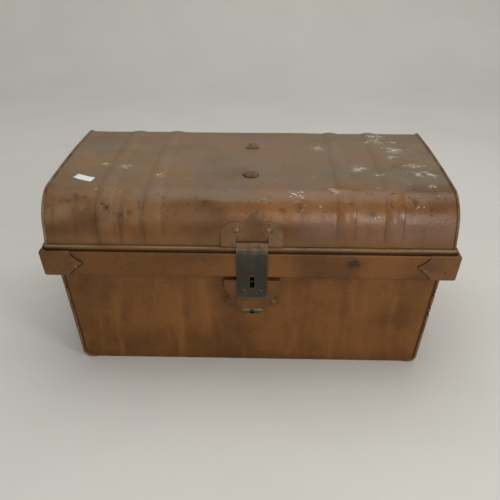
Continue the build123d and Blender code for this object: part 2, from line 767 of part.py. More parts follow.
def lid_line(low, out):
    """The lid's outline seen from its end, from one low point over the top to the other."""
    half = lid_half_y + out
    spread = (crown_radius + out) / (crown_radius - lid_shoulder)
    meet = (crown_run * spread, lid_top - crown_radius + shoulder_reach * spread)
    with BuildLine() as made:
        front = Line((-half, low), (-half, shoulder_height))
        TangentArc(front @ 1, (-meet[0], meet[1]), tangent=front % 1)
        ThreePointArc((-meet[0], meet[1]), (0, lid_top + out), meet)
        back = Line((half, shoulder_height), (half, low))
        TangentArc(back @ 0, meet, tangent=back % 1 * -1)
    return made.wire()


def lid_space(low, out):
    """The area under the lid's outline, moved out by an amount."""
    with BuildSketch() as made:
        with BuildLine():
            add(lid_line(low, out))
            Line((lid_half_y + out, low), (-lid_half_y - out, low))
        make_face()
    return made.sketch


def outside_lid(point):
    """Whether a point stands out from the lid's outline."""
    past_wall = abs(point.Y) - lid_half_y
    arc_y = abs(point.Y) - crown_run
    arc_z = point.Z - shoulder_height
    past_shoulder = sqrt(arc_y**2 + arc_z**2) - lid_shoulder
    past_top = point.Z + crown_radius - lid_top
    past_crown = sqrt(point.Y**2 + past_top**2) - crown_radius
    return past_wall > 0.1 or past_crown > 0.1 or (arc_y > 0 and arc_z > 0 and past_shoulder > 0.1)


def lid_layer(low, inner, outer):
    """A layer of the lid's section between two distances out from its outline."""
    with BuildSketch() as made:
        add(lid_space(low, outer))
        add(lid_space(low, inner), mode=Mode.SUBTRACT)
    return made.sketch


def rolled_edge(section, half):
    """A sheet's section with the rolled rim added on both sides."""
    with BuildSketch() as made:
        add(section)
        with Locations(*[Location((side * (half + rim_out), rim_height), 90) for side in (-1, 1)]):
            Circle(rim_radius)
            Circle(rim_bore, mode=Mode.SUBTRACT)
    return made.sketch


rib_middles = [(side * place, 0, 0) for place in rib_places for side in (-1, 1)]
rim_reach = rim_out + rim_radius


def lid_bar(width, rise, depth, low):
    """A rounded bar laid along the lid's outline, from the front over the top to the back."""
    with BuildPart() as made:
        with BuildSketch(Plane(origin=(0, -lid_half_y, low), x_dir=(1, 0, 0), z_dir=(0, 0, 1))):
            with BuildLine():
                side = width / 2
                top = ThreePointArc((-side, 0), (0, -rise), (side, 0))
                Polyline(top @ 1, (side, depth), (-side, depth), top @ 0)
            make_face()
        sweep(path=Plane.YZ * lid_line(low, 0))
    return made.part


def crown_plane(y, out):
    """A plane on the lid's crowned top, looking outward."""
    normal = Vector(0, y, sqrt(crown_radius**2 - y**2)) / crown_radius
    middle = Vector(0, 0, lid_top - crown_radius)
    return Plane(origin=middle + normal * (crown_radius + out), x_dir=(1, 0, 0), z_dir=normal)


hasp_places = [
    Plane(
        origin=(hasp_place + x, -lid_half_y - hasp_sheet, hasp_axis_height + hasp_rivet_lift),
        x_dir=(1, 0, 0),
        z_dir=(0, -1, 0),
    )
    for x in (-hasp_rivet_reach, hasp_rivet_reach)
]
washer_planes = [crown_plane(y, washer_thickness) for y in washer_places]

# Front, top and back in one sheet
with BuildPart() as lid_sheet:
    with BuildSketch(Plane.YZ.offset(-lid_half_x - rim_reach)):
        add(rolled_edge(lid_layer(skirt_foot, -sheet, 0), lid_half_y))
    extrude(amount=2 * (lid_half_x + rim_reach))
    with BuildSketch(Plane.XY.offset(rim_top)):
        Rectangle(far, far)
        Rectangle(2 * (lid_half_x - sheet), far, mode=Mode.SUBTRACT)
    extrude(amount=lid_top, mode=Mode.SUBTRACT)
    with BuildSketch(Plane.XY.offset(skirt_foot)):
        add(wedge(lid_mitre_shift, lid_half_x + 2 * rim_reach))
        mirror(about=Plane.YZ)
    extrude(amount=rim_top - skirt_foot, mode=Mode.SUBTRACT)
    with Locations(*rib_middles):
        add(lid_bar(rib_width, rib_height, sheet / 2, rib_start))
        add(
            lid_bar(rib_width - 2 * rib_skin, rib_height - sheet, 2 * sheet, rib_start + sheet),
            mode=Mode.SUBTRACT,
        )
    with Locations(*hinge_lid_places, *hasp_places, *washer_planes):
        Cylinder(rivet_shank + fit_gap, drill_depth, mode=Mode.SUBTRACT)
save(lid_sheet, "lid_sheet")

# End panels, each with its rolled seam over the top
with BuildPart() as lid_seam:
    with BuildSketch(Plane.YZ.offset(lid_half_x - seam_inset - seam_radius)):
        add(lid_layer(rim_top + seat_gap, -seam_radius, seam_radius))
    extrude(amount=2 * seam_radius)
    long_edges = lid_seam.faces().filter_by(Axis.X).edges()
    outer_edges = [edge for edge in long_edges if outside_lid(edge @ 0.5)]
    fillet(outer_edges, 0.7 * seam_radius)
with BuildPart() as lid_end_right:
    with BuildSketch(Plane.XZ.offset(-lid_half_y - rim_reach)):
        with Locations((lid_half_x, skirt_foot)):
            Rectangle(sheet, lid_top - skirt_foot + over, align=(Align.MAX, Align.MIN))
        with Locations(Location((lid_half_x + rim_out, rim_height), 90)):
            Circle(rim_radius)
            Circle(rim_bore, mode=Mode.SUBTRACT)
    extrude(amount=2 * (lid_half_y + rim_reach))
    with BuildSketch(Plane.XY.offset(skirt_foot)):
        add(around(wedge(lid_mitre_shift, lid_half_x + 2 * rim_reach)))
    extrude(amount=rim_top - skirt_foot, mode=Mode.SUBTRACT)
    with BuildSketch(Plane.YZ.offset(lid_half_x - 2 * rim_reach)):
        add(around(lid_space(lid_low, 0)))
        with Locations((0, rim_top)):
            Rectangle(far, far, align=(Align.CENTER, Align.MAX), mode=Mode.SUBTRACT)
    extrude(amount=4 * rim_reach, mode=Mode.SUBTRACT)
    add(lid_seam.part)
    add(lid_sheet.part, mode=Mode.SUBTRACT)
save(lid_end_right, "lid_end_right")
with BuildPart() as lid_end_left:
    add(lid_end_right.part, rotation=(0, 0, 180))
save(lid_end_left, "lid_end_left")
wire_half_x = lid_half_x + rim_out
wire_half_y = lid_half_y + rim_out
with BuildPart() as lid_rim_wire:
    with BuildLine() as wire_line:
        start = (0, -wire_half_y, rim_height)
        corners = [(wire_half_x, side * wire_half_y, rim_height) for side in (-1, 1)]
        corners += [(-wire_half_x, side * wire_half_y, rim_height) for side in (1, -1)]
        Polyline(start, *corners, close=True)
    with BuildSketch(Plane(origin=start, z_dir=(1, 0, 0))):
        Circle(rim_wire_radius)
    sweep(path=wire_line.wire(), transition=Transition.RIGHT)
save(lid_rim_wire, "lid_rim_wire")

# Washers and clinched studs through the middle of the lid's top
with BuildPart() as top_washers:
    with BuildSketch(washer_planes[0].offset(-washer_thickness)):
        RegularPolygon(washer_radius, 6)
    extrude(amount=washer_thickness)
    with BuildSketch(washer_planes[1].offset(-washer_thickness)):
        front = tab_width[0] / 2
        back = tab_width[1] / 2
        half = tab_depth / 2
        Polygon((-front, -half), (front, -half), (back, half), (-back, half), align=None)
    extrude(amount=washer_thickness)
    chamfer(top_washers.faces().sort_by(Axis.Z)[-2:].edges(), washer_chamfer)
    with Locations(*washer_planes):
        Cylinder(rivet_shank + fit_gap, drill_depth, mode=Mode.SUBTRACT)
save(top_washers, "top_washers")
with BuildPart() as top_studs:
    with Locations(*washer_planes):
        add(rivet(rivet_head, rivet_rise, rivet_shank, washer_thickness + sheet))
save(top_studs, "top_studs")

# ---------------------------------------------------------------- hasp
hasp_axis_y = -lid_half_y - knuckle_radius
hasp_face = hasp_axis_y - knuckle_radius + plate
hasp_bore = pin_radius + pin_gap
plate_half = hasp_plate_width / 2
plate_shoulder = hasp_axis_height + hasp_rivet_lift
plate_peak = hasp_axis_height + hasp_plate_height
strap_half = strap_width / 2
strap_room = strap_width + 2 * seat_gap
hasp_front = Plane(origin=(hasp_place, 0, 0), x_dir=(1, 0, 0), z_dir=(0, -1, 0))
plate_side = Plane.YZ.offset(hasp_place - plate_half)


def hasp_outline():
    """The hasp plate's outline seen from the front, with its pointed top."""
    step = 0.4 * plate_half
    rise = (plate_shoulder + plate_peak) / 2
    hollow = 0.07 * hasp_plate_height
    with BuildSketch() as made:
        with BuildLine():
            base = (plate_half, hasp_axis_height - 2 * knuckle_radius)
            Polyline((0, base[1]), base, (plate_half, plate_shoulder))
            ThreePointArc((plate_half, plate_shoulder), (2 * step, rise - hollow), (step, rise))
            ThreePointArc((step, rise), (0.4 * step, rise + hollow), (0, plate_peak))
            mirror(about=Plane.YZ)
        make_face()
    return made.sketch


def hasp_swelling():
    """The section of the plate where it stands out from the lid's wall to its knuckles."""
    out = Vector(-hasp_swell, 2 * knuckle_radius - hasp_sheet).normalized()
    foot = Vector(hasp_axis_y, hasp_axis_height) + out * knuckle_radius
    head = Vector(-lid_half_y - hasp_sheet, hasp_axis_height + hasp_swell)
    inward = out * -hasp_sheet
    corners = [head, foot, foot + inward, head + inward]
    with BuildSketch() as made:
        Polygon(*[(corner.X, corner.Y) for corner in corners], align=None)
    return made.sketch


with BuildPart() as hasp_plate:
    with BuildSketch(plate_side):
        add(lid_layer(hasp_axis_height, 0, hasp_sheet))
        Rectangle(far, far, align=(Align.MIN, Align.CENTER), mode=Mode.SUBTRACT)
        add(hasp_swelling())
        with Locations((hasp_axis_y, hasp_axis_height)):
            Circle(knuckle_radius)
            Circle(hasp_bore, mode=Mode.SUBTRACT)
    extrude(amount=2 * plate_half)
    with BuildSketch(hasp_front):
        add(around(hasp_outline()))
        with Locations((0, hasp_axis_height)):
            Rectangle(strap_room, 2 * (knuckle_radius + seat_gap))
    extrude(amount=far, mode=Mode.SUBTRACT)
    with BuildSketch(hasp_front.offset(lid_half_y + hasp_sheet)):
        with Locations((0, hasp_axis_height)):
            Rectangle(strap_room, hasp_swell + over, align=(Align.CENTER, Align.MIN))
    extrude(amount=far, mode=Mode.SUBTRACT)
    with Locations(*hasp_places):
        Cylinder(rivet_shank + fit_gap, drill_depth, mode=Mode.SUBTRACT)
save(hasp_plate, "hasp_plate")
with BuildPart() as hasp_plate_rivets:
    with Locations(*hasp_places):
        add(rivet(hasp_rivet_head, hasp_rivet_rise, rivet_shank, hasp_sheet + sheet))
save(hasp_plate_rivets, "hasp_plate_rivets")
with BuildPart() as hasp_pin:
    with BuildSketch(plate_side):
        with Locations((hasp_axis_y, hasp_axis_height)):
            Circle(pin_radius)
    extrude(amount=2 * plate_half)
save(hasp_pin, "hasp_pin")

strap_foot = band_foot - strap_drop
strap_slot_height = band_foot - strap_slot_drop
strap_knee = -body_half_y - strap_gap
strap_bend = (strap_knee + wall_lean * band_height, band_foot + sheet)
strap_end = (strap_bend[0] + cover_lean * (strap_bend[1] - strap_foot), strap_foot)
strap_plane = leaning(Vector(hasp_place, *strap_bend), Vector(1, 0, 0), Vector(0, -cover_lean, 1), 0)
staple_rise = lock_height - strap_bend[1]
staple_places = [
    strap_plane.offset(plate) * Plane((side * staple_rivet_reach, staple_rise))
    for side in (-1, 1)
]
with BuildPart() as hasp_strap:
    with BuildSketch(Plane.YZ.offset(hasp_place - strap_half)):
        strap_line = [
            (hasp_face, hasp_axis_height),
            (hasp_face, rim_top - fold),
            (strap_knee, band_top + joint_slack),
            strap_bend,
            strap_end,
        ]
        add(strip(strap_line, list(strap_bends), plate, Side.RIGHT))
        with Locations((hasp_axis_y, hasp_axis_height)):
            Circle(knuckle_radius)
            Circle(hasp_bore, mode=Mode.SUBTRACT)
    extrude(amount=strap_width)
    with BuildSketch(hasp_front):
        foot = strap_half - strap_taper
        top = hasp_axis_height + 2 * knuckle_radius
        outline = [(strap_half, top), (strap_half, band_top), (foot, strap_foot)]
        outline += [(-x, z) for x, z in outline[::-1]]
        add(around(area(outline, list(strap_corners + strap_corners[::-1]))))
        with Locations((0, strap_slot_height)):
            Rectangle(strap_slot_width, strap_slot_length)
    extrude(amount=far, mode=Mode.SUBTRACT)
    with Locations(*staple_places):
        Cylinder(rivet_shank + fit_gap, drill_depth, mode=Mode.SUBTRACT)
save(hasp_strap, "hasp_strap")
lock_section = Plane(origin=lock_plane.origin, x_dir=lock_plane.z_dir, z_dir=(-1, 0, 0))
with BuildPart() as staple:
    with BuildSketch(strap_plane):
        with Locations((0, staple_rise)):
            RectangleRounded(staple_foot[0], staple_foot[1], 2 * staple_foot[2])
    extrude(amount=-staple_foot[2])
    with Locations(*staple_places):
        Cylinder(rivet_shank + fit_gap, drill_depth, mode=Mode.SUBTRACT)
    with BuildSketch(lock_section.offset(-eye_width / 2)):
        with Locations((staple_lift, 0)):
            Rectangle(staple_reach, staple_loop, align=(Align.MIN, Align.CENTER))
        with Locations((bolt_lift - seat_gap, 0)):
            room = (bolt_thickness + 2 * seat_gap, bolt_height + 2 * seat_gap)
            Rectangle(*room, align=(Align.MIN, Align.CENTER), mode=Mode.SUBTRACT)
    extrude(amount=eye_width)
save(staple, "staple")
with BuildPart() as staple_rivets:
    with Locations(*staple_places):
        add(rivet(staple_rivet_head, rivet_rise, rivet_shank, plate + staple_foot[2]))
save(staple_rivets, "staple_rivets")
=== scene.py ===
"""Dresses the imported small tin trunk: pressed sheet, rolled seams, fittings, old paint, rust and dust."""

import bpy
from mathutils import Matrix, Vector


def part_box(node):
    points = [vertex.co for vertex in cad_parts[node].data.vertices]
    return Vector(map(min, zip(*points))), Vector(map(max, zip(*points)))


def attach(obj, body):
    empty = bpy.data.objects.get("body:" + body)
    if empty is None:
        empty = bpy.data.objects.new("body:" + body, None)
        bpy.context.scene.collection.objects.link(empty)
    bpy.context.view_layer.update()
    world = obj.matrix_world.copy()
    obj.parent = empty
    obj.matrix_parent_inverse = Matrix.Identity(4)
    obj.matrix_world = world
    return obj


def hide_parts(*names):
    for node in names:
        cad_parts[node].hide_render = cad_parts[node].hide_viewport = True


bl_info = {
    "name": "Small Tin Trunk",
    "version": (1, 0, 0),
    "blender": (4, 5, 0),
    "location": "View3D > Sidebar > Tin Trunk",
    "description": "Builds the sheet metal, fittings and finishes of a small painted tin trunk",
    "category": "Object",
}

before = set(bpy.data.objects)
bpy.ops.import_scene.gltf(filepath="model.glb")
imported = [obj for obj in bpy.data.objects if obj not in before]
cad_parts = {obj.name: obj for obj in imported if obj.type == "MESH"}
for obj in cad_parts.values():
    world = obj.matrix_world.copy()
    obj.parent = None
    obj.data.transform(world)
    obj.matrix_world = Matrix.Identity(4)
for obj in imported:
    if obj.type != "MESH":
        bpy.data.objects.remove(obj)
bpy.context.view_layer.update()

import random
from math import cos, exp, hypot, pi, radians, sin, sqrt, tan

import bmesh
import bpy
from bpy.props import FloatProperty, FloatVectorProperty, IntProperty, PointerProperty
from bpy.types import Operator, Panel, PropertyGroup
from mathutils import Euler, Matrix, Vector, noise

mm = 0.001

# ---------------------------------------------------------------- sizes taken from the frame
body_low, body_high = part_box("body_sheet")
end_low, end_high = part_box("body_end_right")
wire_low, wire_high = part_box("lid_rim_wire")
lid_low, lid_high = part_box("lid_sheet")
band_top = body_high.z
body_half_x = end_high.x
body_half_y = body_high.y
rim_height = (wire_low.z + wire_high.z) / 2
rim_wire = (wire_high.z - wire_low.z) / 2
rim_out = 1.0 * mm
lid_half_x = wire_high.x - rim_wire - rim_out
lid_half_y = wire_high.y - rim_wire - rim_out
skirt_foot = lid_low.z
plate_low, plate_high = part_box("hasp_plate")
cover_low, cover_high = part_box("lock_cover")
hasp_x = (plate_low.x + plate_high.x) / 2

# ---------------------------------------------------------------- sizes of the folded sheet
sheet = 0.8 * mm
fold = 1.2 * mm
band_height = 34 * mm
band_fold = 4 * mm
band_foot = band_top - band_height
wall_lean = 0.103
step_in = 13 * mm
ledge_width = 5 * mm
lip_depth = 5 * mm
foot_radius = 8 * mm
seam_inset = 1.2 * mm
lid_shoulder = 36 * mm
lid_crown = 2.5 * mm
lid_top = 242 * mm
rib_places = (113 * mm, 169 * mm)
rib_foot = 181 * mm
crown_run = lid_half_y - lid_shoulder
crown_radius = (crown_run**2 + lid_crown**2) / (2 * lid_crown)
shoulder_reach = sqrt((crown_radius - lid_shoulder) ** 2 - crown_run**2)
shoulder_height = lid_top - crown_radius + shoulder_reach
rolled_rim = 3.2 * mm
rim_top = rim_height + rolled_rim
weld = 0.01 * mm
fine_weld = 0.004 * mm
inside = Vector((0, 0, 90 * mm))

# ---------------------------------------------------------------- places kept flat, where something is fixed
# each as lowest and highest x, then lowest and highest z
hinge_area = (126 * mm, 156 * mm, 0, 208 * mm)
handle_area = (-52 * mm, 52 * mm, 74 * mm, 110 * mm)
lock_area = (cover_low.x - mm, cover_high.x + mm, cover_low.z - 2 * mm, band_top)
bare_wall = (0, 0, 0, 0)
top_fixings = (-72 * mm, 39 * mm)


def srgb(red, green, blue):
    """A colour written as it looks on a screen, turned into the linear values that a shader takes."""
    return tuple(
        part / 12.92 if part <= 0.04045 else ((part + 0.055) / 1.055) ** 2.4
        for part in (red / 255, green / 255, blue / 255)
    )


# ---------------------------------------------------------------- what a user would change
def colour(name, about, red, green, blue):
    """A colour setting with its default."""
    return FloatVectorProperty(
        name=name, description=about, subtype="COLOR", size=3, min=0, max=1, default=srgb(red, green, blue)
    )


def length(name, about, default, most):
    """A length setting in metres with its default."""
    return FloatProperty(name=name, description=about, unit="LENGTH", min=0, max=most, default=default)


def power(name, about, default):
    """A lamp's power setting in watts with its default."""
    return FloatProperty(name=name, description=about, unit="POWER", min=0, default=default)


class TrunkColours(PropertyGroup):
    """Colours of the paint, the bare metal, the dirt, the painted light and shade, and the stage."""

    paint_low: colour("Paint, darker", "The darker of the two browns in the paint", 88, 54, 20)
    paint_high: colour("Paint, lighter", "The lighter of the two browns in the paint", 112, 71, 30)
    # sun-faded paint that is also painted highlight on the lid's shoulders, the band and the lock cover
    warm_and_highlight: colour("Paint, sunned", "The orange brown along the lid's shoulders", 132, 87, 43)
    dust: colour("Dust", "Dust lying on the lid's top", 119, 98, 74)
    green_dust: colour("Green dust", "The greenish dirt on the right of the lid's top", 115, 106, 83)
    # painted sheen: the pinkish reflection low on the lid's front
    sheen_colour: colour("Bloom", "The pinkish bloom low on the lid's front", 126, 98, 90)
    grey_dust: colour("Grey dust", "The lilac grey mottling in the lid's dust", 112, 99, 90)
    gold_dust: colour("Golden dust", "The yellowish dirt on the left of the lid's top", 130, 104, 68)
    # dark dirt, and also the colour of painted shade in folds, gaps, the keyhole and under the rim
    grime_and_shade: colour("Grime", "Dark dirt in folds and streaks", 46, 32, 20)
    mark: colour("Mark", "Brown marks and cracks in the lid's paint", 58, 35, 18)
    bare_tin: colour("Bare tin", "Dull tin where paint has worn off an edge", 134, 124, 96)
    rust: colour("Rust", "Rust in chips and on bare steel", 92, 52, 24)
    dark_steel: colour("Dark steel", "The hasp's old oiled steel", 47, 47, 37)
    ochre: colour("Worn fittings", "Paint on the plates of the hasp and the lock", 110, 81, 49)
    fleck: colour("Paint flecks", "Spots of pale paint splashed on the lid", 212, 208, 193)
    paper: colour("Paper", "The blank paper label", 226, 226, 228)
    floor: colour("Floor", "The plain pale floor", 214, 212, 206)


class TrunkSizes(PropertyGroup):
    """Sizes of the sheet's pressed and rolled features."""

    rib_width: length("Rib width", "Width of each rib pressed across the lid", 22 * mm, 0.05)
    rib_height: length("Rib height", "How far each rib stands out", 1.7 * mm, 0.01)
    rim_radius: length("Rim radius", "Outside radius of the lid's rolled rim", rolled_rim, 0.01)
    seam_radius: length("Seam radius", "Radius of the rolled seams along the end panels", 1.8 * mm, 0.005)
    wave: length("Waves", "How deep the tinplate is buckled between its folds", 0.7 * mm, 0.003)
    edge: length("Edge softening", "Radius of the worn edges on the fittings", 0.25 * mm, 0.002)


class TrunkStage(PropertyGroup):
    """The lamps and the scatter of paint flecks."""

    lamp: power("Main lamp", "Power of the wide lamp above", 10.4)
    side_lamp: power("Side lamp", "Power of the lamp at the right", 11)
    tall_lamp: power("Tall lamp", "Power of the upright lamp in front", 16)
    world: FloatProperty(name="Room light", description="Strength of the even light all round", default=0.46)
    flecks: IntProperty(name="Flecks", description="How many small pale flecks lie on the lid", default=60)


# ---------------------------------------------------------------- materials
class Finish:
    """One surface finish, laid up from patches, wear, dirt, painted light and shade, and bump in an object's
    own coordinates.
    """

    def __init__(self, name, roughness=0.5, metallic=0.0, specular=0.5):
        self.material = bpy.data.materials.new(name)
        self.material.use_nodes = True
        self.tree = self.material.node_tree
        self.tree.nodes.clear()
        output = self.add("ShaderNodeOutputMaterial")
        self.shader = self.add("ShaderNodeBsdfPrincipled")
        self.tree.links.new(self.shader.outputs["BSDF"], output.inputs["Surface"])
        self.shader.inputs["Roughness"].default_value = roughness
        self.shader.inputs["Metallic"].default_value = metallic
        self.shader.inputs["Specular IOR Level"].default_value = specular
        self.place = self.add("ShaderNodeTexCoord")
        self.axes = None
        self.sides = None

    def add(self, kind, **settings):
        """A new node with its settings."""
        node = self.tree.nodes.new(kind)
        for name, value in settings.items():
            setattr(node, name, value)
        return node

    def feed(self, socket, value):
        """Links a socket, or sets a plain number or colour on it."""
        if isinstance(value, bpy.types.NodeSocket):
            self.tree.links.new(value, socket)
        elif hasattr(value, "__len__") and len(value) == 3 and len(socket.default_value) == 4:
            socket.default_value = (*value, 1)
        else:
            socket.default_value = value

    def sum(self, operation, first, second=0.5, third=None):
        """Arithmetic on one, two or three values."""
        node = self.add("ShaderNodeMath", operation=operation)
        self.feed(node.inputs[0], first)
        self.feed(node.inputs[1], second)
        if third is not None:
            self.feed(node.inputs[2], third)
        return node.outputs[0]

    def both(self, *masks):
        """Where all of the masks are."""
        result = masks[0]
        for mask in masks[1:]:
            result = self.sum("MULTIPLY", result, mask)
        return result

    def either(self, *masks):
        """Where any of the masks is."""
        result = masks[0]
        for mask in masks[1:]:
            result = self.sum("MAXIMUM", result, mask)
        return result

    def without(self, mask):
        """Where the mask isn't."""
        return self.sum("SUBTRACT", 1.0, mask)

    def away(self, value, place=0.0):
        """How far a value is from a place, to either side."""
        return self.sum("ABSOLUTE", self.sum("SUBTRACT", value, place))

    def ramp(self, value, low, high, start=0.0, end=1.0):
        """A soft step from start to end as the value goes from low to high."""
        node = self.add("ShaderNodeMapRange", interpolation_type="SMOOTHSTEP", clamp=True)
        self.feed(node.inputs["Value"], value)
        self.feed(node.inputs["From Min"], low)
        self.feed(node.inputs["From Max"], high)
        self.feed(node.inputs["To Min"], start)
        self.feed(node.inputs["To Max"], end)
        return node.outputs["Result"]

    def stretched(self, stretch, offset=(0, 0, 0)):
        """The object's coordinates, stretched."""
        node = self.add("ShaderNodeMapping")
        self.feed(node.inputs["Vector"], self.place.outputs["Object"])
        node.inputs["Scale"].default_value = stretch
        node.inputs["Location"].default_value = offset
        return node.outputs["Vector"]

    def patches(self, scale, low=0.4, high=0.6, stretch=(1, 1, 1), detail=4, rough=0.55, offset=(0, 0, 0)):
        """Soft irregular patches, scale being how many there are along a metre."""
        node = self.add("ShaderNodeTexNoise")
        self.feed(node.inputs["Vector"], self.stretched(stretch, offset))
        node.inputs["Scale"].default_value = scale
        node.inputs["Detail"].default_value = detail
        node.inputs["Roughness"].default_value = rough
        return self.ramp(node.outputs["Fac"], low, high)

    def spots(self, scale, size, share=1.0, stretch=(1, 1, 1), ragged=0.35, offset=(0, 0, 0)):
        """Small ragged spots: size is a share of the cell, and share is how many cells have one."""
        place = self.stretched(stretch, offset)
        warp = self.add("ShaderNodeTexNoise")
        self.feed(warp.inputs["Vector"], place)
        warp.inputs["Scale"].default_value = scale * 2.2
        warp.inputs["Detail"].default_value = 3
        pushed = self.add("ShaderNodeVectorMath", operation="MULTIPLY_ADD")
        self.feed(pushed.inputs[0], warp.outputs["Color"])
        pushed.inputs[1].default_value = (ragged / scale,) * 3
        self.feed(pushed.inputs[2], place)
        cell = self.add("ShaderNodeTexVoronoi")
        self.feed(cell.inputs["Vector"], pushed.outputs["Vector"])
        cell.inputs["Scale"].default_value = scale
        spot = self.ramp(cell.outputs["Distance"], size, size * 0.72)
        chosen = self.add("ShaderNodeSeparateColor")
        self.feed(chosen.inputs["Color"], cell.outputs["Color"])
        return self.both(spot, self.ramp(chosen.outputs["Red"], share, share - 0.02))

    def along(self, axis):
        """The object's own X, Y or Z coordinate."""
        if self.axes is None:
            self.axes = self.add("ShaderNodeSeparateXYZ")
            self.feed(self.axes.inputs["Vector"], self.place.outputs["Object"])
        return self.axes.outputs[axis]

    def facing(self, axis):
        """How far the surface faces along the object's own X, Y or Z axis."""
        if self.sides is None:
            self.sides = self.add("ShaderNodeSeparateXYZ")
            self.feed(self.sides.inputs["Vector"], self.place.outputs["Normal"])
        return self.sides.outputs[axis]

    def near(self, point, reach, soft=0.5):
        """A soft round area about a point."""
        node = self.add("ShaderNodeVectorMath", operation="DISTANCE")
        self.feed(node.inputs[0], self.place.outputs["Object"])
        node.inputs[1].default_value = point
        return self.ramp(node.outputs["Value"], reach, reach * (1 - soft))

    def edges(self, radius, low=0.02, high=0.25):
        """Where the surface turns sharply: corners, folds and cut edges."""
        soft = self.add("ShaderNodeBevel", samples=4)
        soft.inputs["Radius"].default_value = radius
        shape = self.add("ShaderNodeNewGeometry")
        same = self.add("ShaderNodeVectorMath", operation="DOT_PRODUCT")
        self.feed(same.inputs[0], soft.outputs["Normal"])
        self.feed(same.inputs[1], shape.outputs["Normal"])
        return self.ramp(self.without(same.outputs["Value"]), low, high)

    def crevices(self, reach, low=0.25, high=0.75):
        """Where other metal stands close by: round rivets, under rims and beside seams."""
        shelter = self.add("ShaderNodeAmbientOcclusion", samples=6)
        shelter.inputs["Distance"].default_value = reach
        return self.ramp(self.without(shelter.outputs["AO"]), low, high)

    def between(self, value, low, high, soft):
        """A band where a value lies between low and high, soft at both ends."""
        return self.both(self.ramp(value, low - soft, low + soft), self.ramp(value, high + soft, high - soft))

    def on_arc(self, across, up, ends, hollow, reach):
        """A line along a shallow arc between two points, in the plane of two values."""
        (first_x, first_up), (last_x, last_up) = ends
        chord = Vector((last_x - first_x, last_up - first_up))
        radius = chord.length_squared / (8 * hollow) + hollow / 2
        outward = Vector((abs(chord.y), -chord.x if chord.y > 0 else chord.x)).normalized()
        centre = Vector(((first_x + last_x) / 2, (first_up + last_up) / 2)) - outward * (radius - hollow)
        off_across = self.sum("SUBTRACT", across, centre.x)
        off_up = self.sum("SUBTRACT", up, centre.y)
        out = self.sum("SQRT", self.sum("ADD", self.both(off_across, off_across), self.both(off_up, off_up)))
        line = self.ramp(self.away(out, radius), reach, reach * 0.4)
        soft = reach / 4
        level = self.between(up, min(first_up, last_up), max(first_up, last_up), soft)
        return self.both(line, level, self.between(across, min(first_x, last_x), max(first_x, last_x), soft))

    def over(self, under, top, *masks):
        """One colour over another where all of the masks are; a number among them thins it."""
        node = self.add("ShaderNodeMix", data_type="RGBA", clamp_factor=True)
        under_socket, top_socket = node.inputs[6], node.inputs[7]
        self.feed(node.inputs["Factor"], self.both(*masks))
        self.feed(under_socket, under)
        self.feed(top_socket, top)
        return node.outputs[2]

    def shade(self, under, mask, amount):
        """The colour made darker or lighter by an amount where the mask is."""
        factor = self.ramp(mask, 0.0, 1.0, 1.0, amount)
        node = self.add("ShaderNodeVectorMath", operation="SCALE")
        self.feed(node.inputs[0], under)
        self.feed(node.inputs["Scale"], factor)
        return node.outputs["Vector"]

    def bump(self, *layers):
        """Fine relief from (height, depth in metres) layers."""
        normal = None
        for height, depth in layers:
            node = self.add("ShaderNodeBump")
            node.inputs["Strength"].default_value = 1.0
            node.inputs["Distance"].default_value = depth
            self.feed(node.inputs["Height"], height)
            if normal is not None:
                self.feed(node.inputs["Normal"], normal)
            normal = node.outputs["Normal"]
        self.feed(self.shader.inputs["Normal"], normal)

    def finish(self, colour_socket, roughness_socket=None):
        """Puts the colour and the roughness on the shader and gives the material."""
        self.feed(self.shader.inputs["Base Color"], colour_socket)
        if roughness_socket is not None:
            self.feed(self.shader.inputs["Roughness"], roughness_socket)
        return self.material


def colours():
    """The colour settings of this scene."""
    return bpy.context.scene.trunk_colours


def sizes():
    """The size settings of this scene."""
    return bpy.context.scene.trunk_sizes


def toned(tone, share):
    """A colour made darker or lighter by a share."""
    return tuple(share * part for part in tone)


def old_paint(coat, streaks=(9, 9, 9), dirt=2.2 * mm, soiled=0.45, dirt_and_shade=0.8):
    """The brown paint itself: two browns in patches, fine mottling, dark streaks, and dirt and painted shade
    in the corners.
    """
    paint = colours()
    base = coat.over(paint.paint_low, paint.paint_high, coat.patches(11, 0.35, 0.65))
    base = coat.shade(base, coat.patches(55, 0.45, 0.75, detail=6), 0.86)
    base = coat.shade(base, coat.patches(420, 0.35, 0.7, detail=3), 0.9)
    base = coat.over(base, paint.grime_and_shade, coat.patches(1, 0.52, 0.78, streaks, 6), soiled)
    # dirt and painted shade: darker where the ambient occlusion finds other metal close by
    return coat.over(base, paint.grime_and_shade, coat.crevices(dirt), dirt_and_shade)


def chips(coat, share, offset=(0, 0, 0)):
    """Chips and pits in the paint, small and large."""
    small = coat.spots(210, 0.3, share, offset=offset)
    large = coat.spots(70, 0.2, share * 0.5, ragged=0.6, offset=offset)
    return coat.either(small, large)


def tide_line(coat):
    """How far a place on the lid lies inside the curved edge of its dust, in widths of the soft edge."""
    middle = 12 * mm
    front_edge = -132.5 * mm
    back_edge = -104 * mm
    right_bend = 3.6
    left_bend = 0.45
    off = coat.sum("SUBTRACT", coat.along("X"), middle)
    right = coat.sum("MAXIMUM", off, 0.0)
    left = coat.sum("MINIMUM", off, 0.0)
    bend = coat.sum("ADD", coat.both(right, right, right_bend), coat.both(left, left, left_bend))
    edge = coat.sum("MINIMUM", coat.sum("ADD", bend, front_edge), back_edge)
    soft = coat.ramp(coat.away(off), 50 * mm, 140 * mm, 1.6 * mm, 15 * mm)
    ragged = coat.sum("SUBTRACT", coat.patches(24, 0.2, 0.8, detail=6), 0.5)
    wobble = coat.both(ragged, soft, 2.2)
    inside = coat.sum("SUBTRACT", coat.sum("ADD", coat.along("Y"), wobble), edge)
    return coat.sum("DIVIDE", inside, soft)


